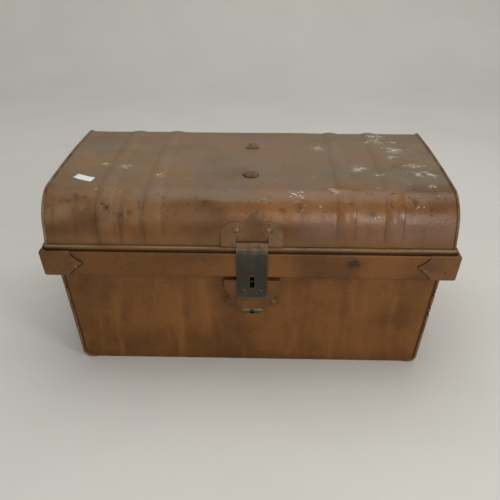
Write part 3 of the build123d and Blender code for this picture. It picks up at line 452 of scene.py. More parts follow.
# pale smudges on the lid: x, way up the lid from the shoulder's foot, and reach, in mm
smudges = (
    (92, 200, 11), (178, 262, 15), (176, 232, 17), (190, 196, 13), (186, 165, 9), (135, 118, 12),
    (157, 96, 8), (209, 132, 10), (213, 105, 12), (226, 96, 9), (218, 64, 7), (100, 50, 8),
    (53, 41, 9), (-160, 115, 8), (-186, 126, 7), (-112, 89, 8),
)

# brown marks on the lid: x, way up the lid from the shoulder's foot, and reach, in mm, and how dark
marks = (
    (-194, 33, 3, 0.8), (-171, 26, 3, 0.9), (-166, 20, 4, 1.0), (-163, 3, 3, 0.8), (-205, 36, 4, 0.5),
    (-214, 30, 4, 0.6), (-109, 38, 3, 0.6), (-101, 34, 3, 0.6), (-52, 28, 4, 0.6), (-14, 11, 3, 0.7),
    (-36, 20, 4, 0.4), (-140, 15, 3, 0.6), (8, 17, 3, 0.6), (38, 20, 4, 0.6), (58, 23, 5, 0.7),
    (117, 31, 4, 0.7), (121, 24, 4, 0.8), (141, 16, 4, 0.9), (167, 15, 3, 0.8), (191, 32, 5, 0.9),
    (211, 25, 4, 0.5), (222, 24, 4, 0.6), (172, 112, 6, 0.5), (-151, 12, 4, 0.6),
)


def shoulder_colours(coat, base):
    """The lid's sides: sun-faded orange that is also a painted highlight, golden dirt on the left, a painted
    sheen on the right, ochre low down.
    """
    paint = colours()
    height = coat.along("Z")
    side = coat.along("X")
    # sun-faded paint and painted highlight: warmer orange along the shoulders, where the light catches them
    sunned_and_highlit = coat.both(
        coat.ramp(height, 200 * mm, 216 * mm),
        coat.patches(9, 0.34, 0.56, detail=5, offset=(2, 0, 0)),
        coat.ramp(side, -170 * mm, -90 * mm, 0.25, 1.0),
        coat.ramp(side, 215 * mm, 180 * mm, 0.3, 1.0),
        coat.ramp(side, 20 * mm, 100 * mm, 0.85, 0.58),
    )
    base = coat.over(base, paint.warm_and_highlight, sunned_and_highlit)
    golden = coat.both(
        coat.between(height, 206 * mm, 236 * mm, 8 * mm),
        coat.ramp(side, -100 * mm, -140 * mm),
        coat.patches(22, 0.4, 0.6),
    )
    base = coat.over(base, paint.gold_dust, golden, 0.6)
    # painted sheen: a pinkish reflection low on the lid's front, on the right
    sheen = coat.both(
        coat.between(height, 188 * mm, 212 * mm, 8 * mm),
        coat.ramp(side, 20 * mm, 100 * mm),
        coat.patches(14, 0.3, 0.6),
    )
    base = coat.over(base, paint.sheen_colour, sheen, 0.4)
    base = coat.over(base, paint.ochre, coat.ramp(height, 195 * mm, 183 * mm), 0.45)
    streaks = coat.both(
        coat.patches(1, 0.54, 0.7, (90, 6, 9), 5, offset=(0, 3, 0)),
        coat.ramp(height, 236 * mm, 220 * mm),
    )
    return coat.over(base, paint.grime_and_shade, streaks, coat.ramp(side, 20 * mm, -100 * mm, 0.15, 0.4))


def lid_dust(coat, base, dusty):
    """Dust on the lid: greenish on the right, golden on the left, grey in blotches, thin all over, and
    lighter along the middle of the top as a painted highlight.
    """
    paint = colours()
    side = coat.along("X")
    green = coat.both(
        coat.patches(11, 0.36, 0.6, detail=6, offset=(5, 5, 0)),
        coat.ramp(side, 40 * mm, 120 * mm),
    )
    gold = coat.both(
        coat.patches(13, 0.42, 0.62, detail=6, offset=(1, 8, 0)),
        coat.ramp(side, -50 * mm, -120 * mm),
    )
    grey = coat.both(
        coat.patches(21, 0.44, 0.64, (1, 0.8, 1), 8, 0.65, offset=(9, 4, 0)),
        coat.ramp(side, 150 * mm, 0.0, 0.5, 1.0),
    )
    dust = coat.over(paint.dust, paint.green_dust, green)
    dust = coat.over(dust, paint.gold_dust, gold, 0.8)
    dust = coat.over(dust, paint.grey_dust, grey, 0.75)
    dust = coat.shade(dust, coat.patches(65, 0.45, 0.7, (1, 0.6, 1), 6, 0.6, offset=(2, 2, 2)), 0.93)
    # painted highlight: the dust made lighter along the middle of the top
    dust = coat.shade(dust, coat.between(coat.along("Y"), -55 * mm, 60 * mm, 30 * mm), 1.1)
    rubbed_off = coat.both(
        coat.patches(17, 0.58, 0.7, detail=7, offset=(7, 1, 0)),
        coat.ramp(side, -20 * mm, 120 * mm, 0.25, 0.8),
    )
    base = coat.over(base, dust, dusty, coat.without(rubbed_off), 0.92)
    upward = coat.ramp(coat.facing("Z"), 0.0, 0.8)
    return coat.over(base, paint.dust, upward, coat.patches(34, 0.35, 0.7), 0.3)


def rib_wear(coat, base):
    """Dirt and painted shade at the ribs' feet, worn tin and a painted highlight on their crests, and a pale
    trickle down the outer left one.
    """
    paint = colours()
    up = coat.facing("Z")
    height = coat.along("Z")
    side = coat.along("X")
    for place in rib_places:
        from_rib = coat.away(coat.away(side), place)
        # dirt and painted shade along each rib's foot, darker where the sheet faces less upward
        foot = coat.both(
            coat.between(from_rib, 9.6 * mm, 11.8 * mm, 1.4 * mm),
            coat.patches(30, 0.3, 0.65, detail=6),
            coat.ramp(height, 183 * mm, 190 * mm),
        )
        base = coat.over(base, paint.grime_and_shade, foot, coat.ramp(up, 0.9, 0.6, 0.14, 0.45))
        # worn tin and painted highlight on the upward-facing crest
        crest = coat.both(coat.ramp(from_rib, 5 * mm, 0.0), coat.ramp(up, 0.5, 0.95))
        base = coat.over(base, paint.bare_tin, crest, coat.patches(26, 0.45, 0.65), 0.16)
        trickle = coat.both(
            coat.ramp(from_rib, 9 * mm, 2 * mm),
            coat.ramp(side, -140 * mm, -160 * mm),
            coat.ramp(height, 190 * mm, 210 * mm),
        )
        base = coat.over(base, paint.dust, trickle, coat.patches(40, 0.2, 0.6), 0.5)
    return base


def lid_spatter(coat, base):
    """The thin film of the pale smudges and the ragged brown marks, on the lid's outside alone."""
    paint = colours()
    outside = coat.ramp(coat.facing("Z"), 0.0, 0.15)
    film = coat.both(coat.patches(110, 0.46, 0.62, (0.6, 1.4, 1), 8, 0.7), outside)
    for x, along_front, reach in smudges:
        point, _ = on_lid(x * mm, along_front * mm)
        base = coat.over(base, paint.fleck, film, coat.near(point, 1.5 * reach * mm, 0.95), 0.36)
    torn = coat.both(coat.patches(150, 0.42, 0.56, (1, 1, 0.6), 6, 0.7, offset=(3, 1, 6)), outside)
    for x, along_front, reach, depth in marks:
        point, _ = on_lid(x * mm, along_front * mm)
        base = coat.over(base, paint.mark, torn, coat.near(point, 1.7 * reach * mm, 0.9), depth)
    return base


def lid_paint():
    """Paint of the lid: sun-faded shoulders with a painted highlight, dust inside a tide line, pits, worn
    ribs with painted shade and highlight, smudges and marks.
    """
    paint = colours()
    coat = Finish("lid_paint", 0.4, specular=0.35)
    up = coat.facing("Z")
    base = shoulder_colours(coat, old_paint(coat, (34, 9, 14)))
    dusty = coat.both(
        coat.ramp(tide_line(coat), -1.0, 1.0),
        coat.ramp(up, 0.35, 0.7),
        coat.ramp(coat.patches(20, 0.3, 0.75, detail=8), 0.0, 1.0, 0.62, 1.0),
    )
    base = lid_dust(coat, base, dusty)
    shoulders = coat.both(coat.ramp(up, 0.1, 0.4), coat.ramp(up, 0.995, 0.93))
    scars = coat.both(coat.spots(46, 0.16, 0.35, (1, 1, 0.5), 0.9, offset=(4, 2, 9)), shoulders)
    pits = coat.either(coat.both(chips(coat, 0.16), coat.ramp(shoulders, 0.0, 1.0, 0.3, 1.0)), scars)
    base = coat.over(base, paint.grime_and_shade, pits, 0.6)
    base = rib_wear(coat, base)
    base = coat.over(base, paint.bare_tin, coat.edges(1.6 * mm), coat.patches(60, 0.3, 0.6), 0.75)
    base = lid_spatter(coat, base)
    grain = coat.patches(700, 0.3, 0.7, detail=2)
    coat.bump((coat.without(pits), 0.14 * mm), (grain, 0.03 * mm), (coat.patches(90, 0.3, 0.7), 0.14 * mm))
    gloss = coat.ramp(coat.either(dusty, pits), 0.0, 1.0, 0.26, 0.55)
    gloss = coat.sum("MAXIMUM", gloss, coat.ramp(coat.along("X"), 20 * mm, -80 * mm, 0.26, 0.46))
    return coat.finish(base, coat.sum("MULTIPLY_ADD", grain, 0.06, gloss))


def corner_cracks(coat, base):
    """Dark cracks in the paint round the outline of each corner cap, on the band's outer faces."""
    cap_top = 35 * mm
    cap_point = 50 * mm
    cap_foot = 32 * mm
    crack = 3.2 * mm
    hollow = 2 * mm
    height = coat.along("Z")
    from_middle = coat.away(coat.along("X"))
    from_centre = coat.away(coat.along("Y"))
    for across, half, out, out_half, axis in (
        (from_middle, body_half_x, from_centre, body_half_y, "Y"),
        (from_centre, body_half_y, from_middle, body_half_x, "X"),
    ):
        outward = coat.ramp(coat.both(coat.facing(axis), coat.along(axis)), 0.0, 0.03)
        face = coat.both(outward, coat.ramp(out, out_half - 16 * mm, out_half - 14 * mm))
        top = (half - cap_top, band_top - 0.09 * band_height)
        point = (half - cap_point, band_top - 0.45 * band_height)
        foot = (half - cap_foot, band_foot + 0.06 * band_height)
        for ends in ((top, point), (point, foot)):
            line = coat.on_arc(across, height, ends, hollow, crack)
            base = coat.over(base, toned(colours().mark, 0.4), face, line, 0.95)
    return base


def seam_lines(coat, base):
    """A dark line of painted shade down the tub's front and back beside each corner seam."""
    height = coat.along("Z")
    leaning = coat.sum("SUBTRACT", coat.away(coat.along("X")), coat.sum("MULTIPLY", height, wall_lean))
    seam_at = body_half_x - wall_lean * (band_height + band_foot) - step_in - seam_inset - sizes().seam_radius
    shade_beside_seam = coat.both(
        coat.between(leaning, seam_at - 1.7 * mm, seam_at + mm, 0.6 * mm),
        coat.ramp(height, band_foot, band_foot - mm),
        coat.patches(30, 0.2, 0.45),
    )
    return coat.over(base, toned(colours().mark, 0.55), shade_beside_seam, 0.85)


def tub_paint():
    """Paint of the tub and its band: upright streaks, dirt and painted shade in the folds, cracks and worn
    corners.
    """
    paint = colours()
    coat = Finish("tub_paint", 0.4, specular=0.27)
    height = coat.along("Z")
    side = coat.along("X")
    from_middle = coat.away(side)
    round_lock = coat.near((hasp_x, -135 * mm, cover_low.z + 20 * mm), 46 * mm, 0.25)
    # dirt and painted shade in the folds, thinner round the lock
    base = old_paint(coat, (42, 42, 7), 2.8 * mm, 0.25, coat.ramp(round_lock, 0.0, 1.0, 0.95, 0.3))
    upright = coat.patches(1, 0.5, 0.72, (70, 70, 5), 5)
    base = coat.over(base, paint.rust, upright, coat.ramp(height, 140 * mm, 100 * mm), 0.3)
    lit = coat.patches(1, 0.5, 0.7, (50, 50, 4), 5, offset=(6, 6, 0))
    base = coat.over(base, paint.warm_and_highlight, lit, coat.ramp(height, 140 * mm, 120 * mm), 0.4)
    # darker towards the foot
    base = coat.over(base, paint.grime_and_shade, coat.ramp(height, 16 * mm, 0.0), coat.patches(45, 0.3, 0.7), 0.5)
    band_edge = coat.between(height, 168.5 * mm, 171.2 * mm, 0.5 * mm)
    base = coat.over(base, paint.dust, band_edge, coat.patches(26, 0.3, 0.6), 0.12)
    # painted shade on the band's top ledge, under the lid's rim
    ledge_shade = coat.both(
        coat.ramp(coat.away(coat.along("Y")), body_half_y - 1.0 * mm, body_half_y - 1.7 * mm),
        coat.ramp(from_middle, body_half_x - 1.0 * mm, body_half_x - 1.7 * mm),
        coat.ramp(height, band_top - 1.6 * mm, band_top - 0.6 * mm),
    )
    base = coat.over(base, paint.grime_and_shade, ledge_shade, 0.85)
    # painted shade: the wall and the band's foot darker towards the left
    shaded_left = coat.ramp(side, 20 * mm, -160 * mm)
    base = coat.shade(base, coat.both(shaded_left, coat.ramp(height, 40 * mm, 120 * mm)), 0.88)
    base = coat.shade(base, coat.both(shaded_left, coat.ramp(height, band_foot, band_foot + 4 * mm)), 0.88)
    base = corner_cracks(coat, base)
    base = seam_lines(coat, base)
    cover_half = (cover_high.x - cover_low.x) / 2
    # painted shadow in the gap above the lock cover, beside the strap
    slit_shadow = coat.both(
        coat.ramp(coat.away(side, hasp_x), cover_half + mm, cover_half - 2 * mm),
        coat.between(height, cover_high.z - 5 * mm, band_foot + 0.3 * mm, 0.7 * mm),
        coat.ramp(coat.along("Y"), -110 * mm, -120 * mm),
    )
    base = coat.over(base, toned(paint.grime_and_shade, 0.2), slit_shadow)
    stain = coat.near((124 * mm, -152 * mm, 158 * mm), 11 * mm)
    base = coat.over(base, paint.grime_and_shade, stain, coat.patches(120, 0.3, 0.5), 0.85)
    pits = chips(coat, 0.05, (5, 2, 1))
    base = coat.over(base, paint.mark, pits, 0.7)
    under_rim = coat.both(
        coat.ramp(height, band_top - 3 * mm, band_top - 2 * mm), coat.ramp(from_middle, 225 * mm, 200 * mm)
    )
    worn = coat.both(coat.edges(1.6 * mm), coat.patches(60, 0.35, 0.6), coat.without(under_rim))
    base = coat.over(base, paint.bare_tin, worn, 0.4)
    grain = coat.patches(600, 0.3, 0.7, detail=2)
    coat.bump((coat.without(pits), 0.1 * mm), (grain, 0.03 * mm), (coat.patches(60, 0.3, 0.7), 0.15 * mm))
    return coat.finish(base, coat.ramp(grain, 0.0, 1.0, 0.32, 0.44))


def seam_paint(name="seam_paint", bare=0.5):
    """Rolled seams, rubbed down to greenish tin along their tops."""
    paint = colours()
    coat = Finish(name, 0.5, specular=0.3)
    base = old_paint(coat, dirt=1.6 * mm)
    open_side = coat.without(coat.crevices(1.6 * mm, 0.3, 0.6))
    base = coat.over(base, paint.bare_tin, coat.patches(1, 0.36, 0.6, (40, 40, 40), 6), open_side, bare)
    base = coat.over(base, paint.grime_and_shade, coat.patches(150, 0.58, 0.7), 0.8)
    grain = coat.patches(500, 0.3, 0.7)
    coat.bump((grain, 0.05 * mm))
    return coat.finish(base, coat.ramp(grain, 0.0, 1.0, 0.42, 0.6))


def rim_paint():
    """The lid's rolled rim: brown with a dull rubbed line along it that is also a painted highlight, and
    painted shade under it.
    """
    paint = colours()
    coat = Finish("rim_paint", 0.4, specular=0.35)
    base = old_paint(coat, dirt=1.6 * mm)
    up = coat.facing("Z")
    # worn tin and painted highlight on the upward-facing part of the rim
    rubbed = coat.both(coat.between(up, 0.45, 0.9, 0.12), coat.patches(1, 0.28, 0.55, (14, 14, 60), 5))
    base = coat.over(base, paint.bare_tin, rubbed, 0.6)
    # painted shade on the rim's downward-facing underside
    base = coat.over(base, paint.grime_and_shade, coat.ramp(up, -0.1, -0.5), 0.8)
    base = coat.over(base, paint.grime_and_shade, coat.patches(130, 0.6, 0.72), 0.7)
    grain = coat.patches(500, 0.3, 0.7)
    coat.bump((grain, 0.04 * mm))
    return coat.finish(base, coat.ramp(grain, 0.0, 1.0, 0.38, 0.55))


def fittings_paint(name, rub, wear):
    """Painted steel plate, rubbed at its edges, with dirt and painted shade where it meets the sheet and
    round its rivets.
    """
    paint = colours()
    coat = Finish(name, 0.42, specular=0.32)
    base = old_paint(coat, dirt=1.8 * mm)
    base = coat.over(base, paint.ochre, coat.patches(40, 0.35, 0.65, detail=6), wear)
    base = coat.over(base, paint.rust, coat.patches(80, 0.55, 0.7, detail=7), 0.6)
    # dirt and painted shade where other metal stands close by
    base = coat.over(base, paint.grime_and_shade, coat.crevices(3 * mm, 0.2, 0.6), 0.85)
    base = coat.over(base, paint.grime_and_shade, chips(coat, 0.22, (1, 7, 3)), 0.8)
    base = coat.over(base, paint.bare_tin, coat.edges(0.9 * mm), coat.patches(90, 0.25, 0.55), rub)
    grain = coat.patches(520, 0.3, 0.7, detail=3)
    coat.bump((grain, 0.05 * mm), (coat.patches(130, 0.3, 0.7), 0.1 * mm))
    return base, coat, grain


def plate_paint(name, rub, wear, darker=1.0):
    """The finish of the caps, hinges and plates."""
    base, coat, grain = fittings_paint(name, rub, wear)
    base = coat.shade(base, coat.patches(45, 0.2, 0.5), darker)
    return coat.finish(base, coat.ramp(grain, 0.0, 1.0, 0.36, 0.55))


def cover_paint():
    """The lock's cover: the wall's own brown with a painted highlight in its middle, worn olive at its knee
    and bare steel below it, with painted shade behind the strap and in the keyhole.
    """
    paint = colours()
    base, coat, grain = fittings_paint("cover_paint", 0.3, 0.15)
    knee = cover_low.z + 11.5 * mm
    strap_foot = cover_high.z - 9 * mm
    from_middle = coat.away(coat.along("X"), hasp_x)
    uneven = coat.sum("SUBTRACT", coat.patches(60, 0.2, 0.8), 0.5)
    level = coat.sum("MULTIPLY_ADD", uneven, 1.6 * mm, coat.along("Z"))
    middle = coat.ramp(from_middle, 16 * mm, 9 * mm)
    # painted highlight: a warmer, lighter patch in the cover's middle
    highlight = coat.both(coat.between(level, knee + 3 * mm, knee + 17 * mm, 3 * mm), middle)
    base = coat.over(base, paint.warm_and_highlight, highlight, coat.patches(50, 0.2, 0.5), 0.25)
    base = coat.shade(base, coat.ramp(level, cover_low.z, cover_low.z + 2 * mm), 0.78)
    line = coat.both(
        coat.between(level, knee - 0.3 * mm, knee + 2 * mm, 0.7 * mm),
        coat.ramp(from_middle, 17 * mm, 12 * mm),
    )
    base = coat.over(base, paint.bare_tin, line, coat.patches(140, 0.3, 0.5), 0.6)
    bare = coat.ramp(level, knee + 0.3 * mm, knee - 0.8 * mm)
    base = coat.over(base, toned(paint.dark_steel, 1.7), bare, coat.ramp(from_middle, 15 * mm, 12 * mm), 0.9)
    foot = coat.ramp(level, cover_low.z + 2.6 * mm, cover_low.z + 1 * mm)
    base = coat.over(base, paint.bare_tin, foot, middle, 0.6)
    # painted shade: almost black behind the strap, where the gap is in shadow
    behind = coat.ramp(level, strap_foot, strap_foot + 3 * mm)
    base = coat.over(base, toned(paint.grime_and_shade, 0.2), behind, coat.ramp(from_middle, 13 * mm, 10 * mm))
    # painted shade: the keyhole as a near-black slot
    slot_level = coat.between(coat.along("Z"), cover_low.z + 1.5 * mm, knee + 1.4 * mm, 0.4 * mm)
    base = coat.over(base, toned(paint.grime_and_shade, 0.1), coat.ramp(from_middle, 2.6 * mm, 2.0 * mm), slot_level)
    return coat.finish(base, coat.ramp(grain, 0.0, 1.0, 0.36, 0.52))


def dark_steel():
    """The hasp strap's oiled steel, greenish dark with brown wear, with painted shade on its middle and in
    its crevices.
    """
    paint = colours()
    coat = Finish("dark_steel", 0.45, 0.3)
    height = coat.along("Z")
    base = coat.over(toned(paint.dark_steel, 0.62), paint.dark_steel, coat.patches(45, 0.3, 0.7, detail=7))
    base = coat.over(base, paint.rust, coat.patches(70, 0.52, 0.72, detail=6), 0.55)
    base = coat.over(base, paint.bare_tin, coat.patches(1, 0.55, 0.75, (160, 40, 20)), 0.2)
    # painted shade: the strap darker along its middle, under the lid's rim
    dark = coat.both(coat.between(height, 125 * mm, 163 * mm, 8 * mm), coat.patches(60, 0.25, 0.6, detail=6))
    base = coat.over(base, toned(paint.grime_and_shade, 0.8), dark, 0.7)
    roll = coat.ramp(height, rim_top - 3.5 * mm, rim_top - 1.5 * mm)
    base = coat.over(base, paint.ochre, roll, coat.patches(110, 0.2, 0.5), 0.95)
    # dirt and painted shade where other metal stands close by
    base = coat.over(base, paint.grime_and_shade, coat.crevices(2.5 * mm, 0.25, 0.6), 0.8)
    base = coat.over(base, paint.bare_tin, coat.edges(1.0 * mm), coat.patches(110, 0.3, 0.6), 0.8)
    grain = coat.patches(650, 0.3, 0.7)
    coat.bump((grain, 0.05 * mm), (coat.patches(180, 0.3, 0.7), 0.08 * mm))
    return coat.finish(base, coat.ramp(grain, 0.0, 1.0, 0.34, 0.58))


def rusty_steel():
    """Bare steel wire and pins with a brown skin of rust."""
    paint = colours()
    coat = Finish("rusty_steel", 0.5, 0.45)
    base = coat.over(paint.dark_steel, paint.rust, coat.patches(60, 0.35, 0.65, detail=7))
    base = coat.over(base, paint.grime_and_shade, coat.patches(240, 0.5, 0.7), 0.6)
    base = coat.over(base, paint.bare_tin, coat.patches(1, 0.5, 0.66, (220, 30, 220)), 0.5)
    grain = coat.patches(700, 0.3, 0.7)
    coat.bump((grain, 0.06 * mm), (coat.patches(200, 0.3, 0.7), 0.1 * mm))
    return coat.finish(base, coat.ramp(grain, 0.0, 1.0, 0.4, 0.68))


def rivet_paint():
    """Hammered rivet heads under paint, bare on their crowns, with dirt and painted shade round their feet.
    """
    paint = colours()
    coat = Finish("rivet_paint", 0.42, 0.15)
    base = coat.over(paint.paint_low, paint.ochre, coat.patches(160, 0.4, 0.6))
    base = coat.over(base, paint.grime_and_shade, coat.patches(320, 0.55, 0.7), 0.8)
    base = coat.over(base, paint.bare_tin, coat.patches(280, 0.495, 0.615, offset=(4, 4, 4)), 0.35)
    # dirt and painted shade round each rivet's foot
    base = coat.over(base, paint.grime_and_shade, coat.crevices(2.6 * mm, 0.12, 0.45), 0.95)
    grain = coat.patches(600, 0.3, 0.7)
    coat.bump((grain, 0.06 * mm), (coat.patches(260, 0.3, 0.7), 0.15 * mm))
    return coat.finish(base, coat.ramp(grain, 0.0, 1.0, 0.38, 0.6))


def plain_paper():
    """Blank paper with a faint fibre and a little dirt."""
    paint = colours()
    coat = Finish("blank_paper", 0.75)
    base = coat.shade(paint.paper, coat.patches(300, 0.4, 0.7), 0.93)
    base = coat.over(base, paint.dust, coat.patches(120, 0.6, 0.75), 0.2)
    coat.bump((coat.patches(900, 0.3, 0.7), 0.02 * mm))
    return coat.finish(base)


def splashed_paint():
    """Spots of pale paint, a little dirty."""
    paint = colours()
    coat = Finish("pale_flecks", 0.6)
    base = coat.over(toned(paint.fleck, 0.62), paint.fleck, coat.patches(170, 0.35, 0.6))
    coat.bump((coat.patches(800, 0.3, 0.7), 0.03 * mm))
    return coat.finish(base)


def floor_finish():
    """The pale floor, very slightly uneven in tone."""
    coat = Finish("pale_floor", 0.75, specular=0.3)
    base = coat.shade(colours().floor, coat.patches(5, 0.35, 0.7, detail=7), 0.97)
    coat.bump((coat.patches(120, 0.3, 0.7), 0.05 * mm))
    return coat.finish(base)


makers = {
    "lid_paint": lid_paint,
    "tub_paint": tub_paint,
    "seam_paint": seam_paint,
    "tub_seam_paint": lambda: seam_paint("tub_seam_paint", 0.2),
    "rim_paint": rim_paint,
    "cap_paint": lambda: plate_paint("cap_paint", 0.6, 0.3),
    "hasp_paint": lambda: plate_paint("hasp_paint", 0.8, 1.0, 0.88),
    "cover_paint": cover_paint,
    "plate_paint": lambda: plate_paint("plate_paint", 0.5, 0.7),
    "dark_steel": dark_steel,
    "rusty_steel": rusty_steel,
    "rivet_paint": rivet_paint,
    "blank_paper": plain_paper,
    "pale_flecks": splashed_paint,
    "pale_floor": floor_finish,
}


def finish_named(name):
    """A finish by name, made the first time that it is asked for."""
    return bpy.data.materials.get(name) or makers[name]()


# ---------------------------------------------------------------- shapes
def rounded_line(points, radii, steps=5):
    """A flat line through the points with its inner corners rounded."""
    line = [points[0]]
    for before, corner, after, radius in zip(points, points[1:], points[2:], radii):
        here = Vector(corner)
        back = (Vector(before) - here).normalized()
        ahead = (Vector(after) - here).normalized()
        half_angle = back.angle(ahead) / 2
        reach = radius / tan(half_angle)
        middle = here + (back + ahead).normalized() * (radius / sin(half_angle))
        start = here + back * reach - middle
        end = here + ahead * reach - middle
        turn = start.angle_signed(end)
        for step in range(steps + 1):
            line.append(tuple(middle + Matrix.Rotation(-turn * step / steps, 2) @ start))
    return line + [points[-1]]


def divided(line, spacing):
    """The same line with its long runs divided."""
    result = [line[0]]
    for start, end in zip(line, line[1:]):
        span = (Vector(end) - Vector(start)).length
        parts = max(1, round(span / spacing))
        for part in range(1, parts + 1):
            share = part / parts
            result.append(tuple(a + (b - a) * share for a, b in zip(start, end)))
    return result


def mesh_object(name, work, finish):
    """An object made from a bmesh, shaded smooth, with its finish."""
    mesh = bpy.data.meshes.new(name)
    work.normal_update()
    work.to_mesh(mesh)
    work.free()
    piece = bpy.data.objects.new(name, mesh)
    bpy.context.scene.collection.objects.link(piece)
    mesh.materials.append(finish_named(finish))
    mesh.polygons.foreach_set("use_smooth", [True] * len(mesh.polygons))
    return piece


def new_piece(name, work, finish, body, nodes=(), smooth=40):
    """A piece from a bmesh, finished, riding on a body and standing for CAD nodes."""
    piece = mesh_object(name, work, finish)
    piece.data.set_sharp_from_angle(angle=radians(smooth))
    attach(piece, body)
    if nodes:
        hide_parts(*nodes)
    return piece


def grid(work, rows):
    """Faces between rows of points, all of the same length."""
    lines = [[work.verts.new(point) for point in row] for row in rows]
    for low, high in zip(lines, lines[1:]):
        for at in range(len(low) - 1):
            work.faces.new((low[at], low[at + 1], high[at + 1], high[at]))
    return lines


def face_outward(work):
    """Turns the faces of a sheet to look away from the inside of the trunk."""
    bmesh.ops.recalc_face_normals(work, faces=work.faces)
    outward = 0.0
    for face in work.faces:
        outward += (face.calc_center_median() - inside).dot(face.normal) * face.calc_area()
    if outward < 0:
        bmesh.ops.reverse_faces(work, faces=work.faces)


def tube(work, path, radius, sides, closed=False):
    """A round bar along a path of points, capped at its ends or joined up."""
    path = [Vector(point) for point in path]
    count = len(path)
    turns = [2 * pi * step / sides for step in range(sides)]
    rings = []
    for at, point in enumerate(path):
        before = path[at - 1] if at or closed else point
        after = path[(at + 1) % count] if at < count - 1 or closed else point
        ahead = (after - before).normalized()
        side = ahead.orthogonal() if abs(ahead.z) > 0.99 else ahead.cross(Vector((0, 0, 1)))
        side.normalize()
        up = side.cross(ahead)
        into = (point - before).normalized() if (point - before).length else ahead
        widen = 1 / max(0.5, abs(into.dot(ahead)))
        rings.append(
            [work.verts.new(point + (side * cos(turn) * widen + up * sin(turn)) * radius) for turn in turns]
        )
    pairs = list(zip(rings, rings[1:]))
    if closed:
        pairs.append((rings[-1], rings[0]))
    for first, second in pairs:
        for at in range(sides):
            following = (at + 1) % sides
            work.faces.new((first[at], first[following], second[following], second[at]))
    if not closed:
        work.faces.new(rings[0][::-1])
        work.faces.new(rings[-1])


def thickened(piece, thickness):
    """Gives a sheet its thickness, inwards from the surface that was made."""
    solid = piece.modifiers.new("sheet", "SOLIDIFY")
    solid.thickness = thickness
    solid.offset = -1


def softened(piece, width):
    """Rounds a piece's edges a little."""
    bevel = piece.modifiers.new("worn_edges", "BEVEL")
    bevel.width = width
    bevel.segments = 2
    bevel.limit_method = "ANGLE"
    bevel.angle_limit = radians(35)
    bevel.harden_normals = True


def buckle(x, y, z, size, seed):
    """A small smooth in-and-out of beaten sheet at a place, between -1 and 1."""
    return noise.noise(Vector((x / size + seed, y / size - seed, z / size + 2 * seed)))


def within(value, reach):
    """0 for nothing or less, 1 from the reach on, and even in between."""
    return min(1.0, max(0.0, value / reach))


def keep_off(x, z, area):
    """0 inside an area of (x, z) limits, where something is fixed to the sheet, and 1 well away from it."""
    left, right, low, high = area
    past_x = max(left - x, x - right, 0)
    past_z = max(low - z, z - high, 0)
    return within(hypot(past_x, past_z), 18 * mm)


def dressed(name, node, finish, body, hammered=0.0, worn=1.0):
    """A piece cut from a CAD node's shape, its flat faces joined, its edges worn and its surface uneven."""
    work = bmesh.new()
    work.from_mesh(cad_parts[node].data)
    bmesh.ops.remove_doubles(work, verts=work.verts, dist=fine_weld)
    bmesh.ops.dissolve_limit(
        work, angle_limit=radians(1.5), verts=work.verts, edges=work.edges, use_dissolve_boundaries=False
    )
    if hammered:
        low = [min(vertex.co[axis] for vertex in work.verts) for axis in range(3)]
        high = [max(vertex.co[axis] for vertex in work.verts) for axis in range(3)]
        for vertex in work.verts:
            x, y, z = vertex.co
            for axis, seed in enumerate((3, 7, 11)):
                moved = vertex.co[axis] + buckle(x, y, z, 6 * mm, seed) * hammered
                vertex.co[axis] = min(high[axis], max(low[axis], moved))
    piece = new_piece(name, work, finish, body, [node], smooth=32)
    if worn:
        softened(piece, sizes().edge * worn)


def heads(name, node, body, hammered=0.12 * mm, finish="rivet_paint"):
    """A set of hammered rivet heads."""
    dressed(name, node, finish, body, hammered, worn=0.0)


def repaint(node, finish):
    """Gives a CAD node that keeps its own shape its finish."""
    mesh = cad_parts[node].data
    mesh.materials.clear()
    mesh.materials.append(finish_named(finish))


# ---------------------------------------------------------------- lid
def lid_section(low):
    """The lid's outline from its front edge over the top to its back edge, as (y, z, out_y, out_z)."""
    shoulder_steps = 18
    crown_steps = 62
    points = []
    wall_steps = max(2, round((shoulder_height - low) / (4 * mm)))
    for step in range(wall_steps):
        points.append((-lid_half_y, low + (shoulder_height - low) * step / wall_steps, -1.0, 0.0))
    lean = crown_run / (crown_radius - lid_shoulder)
    last_turn = pi / 2 - lean
    for step in range(shoulder_steps + 1):
        turn = last_turn * step / shoulder_steps
        out = (-cos(turn), sin(turn))
        points.append((-crown_run + lid_shoulder * out[0], shoulder_height + lid_shoulder * out[1], *out))
    for step in range(1, crown_steps):
        tilt = -lean + 2 * lean * step / crown_steps
        out = (sin(tilt), cos(tilt))
        points.append((crown_radius * out[0], lid_top - crown_radius + crown_radius * out[1], *out))
    front = points[: wall_steps + shoulder_steps + 1]
    return points + [(-y, z, -out_y, out_z) for y, z, out_y, out_z in front[::-1]]


def dent_rise(place):
    """How far the lid's dents move its sheet at a place."""
    rise = 0.0
    for middle, reach, depth in dent_middles:
        off = (middle - place).length / reach
        if off < 2.5:
            rise += depth * exp(-off * off)
    return rise


def rib_rise(x, z):
    """How far the pressed ribs stand out at a place, each starting softly above the rim."""
    rise = 0.0
    for place in rib_places:
        across = abs(abs(x) - place) / (sizes().rib_width / 2)
        if across < 1:
            rise += sizes().rib_height * (1 - across**2) * sqrt(within(z - rib_foot, 7 * mm))
    return rise


def lid_calm(x, y, z):
    """How free the lid's sheet is to buckle: 0 where folds and fittings hold it, 1 well away from them."""
    calm = within(lid_half_x - abs(x), 22 * mm) * within(z - rim_top, 14 * mm)
    if y < -60 * mm:
        calm *= keep_off(x, z, (plate_low.x, plate_high.x, 0, plate_high.z))
    if y > 110 * mm:
        calm *= keep_off(abs(x), z, hinge_area)
    for middle in top_fixings:
        calm *= within(hypot(x, y - middle) - 13 * mm, 15 * mm)
    return calm


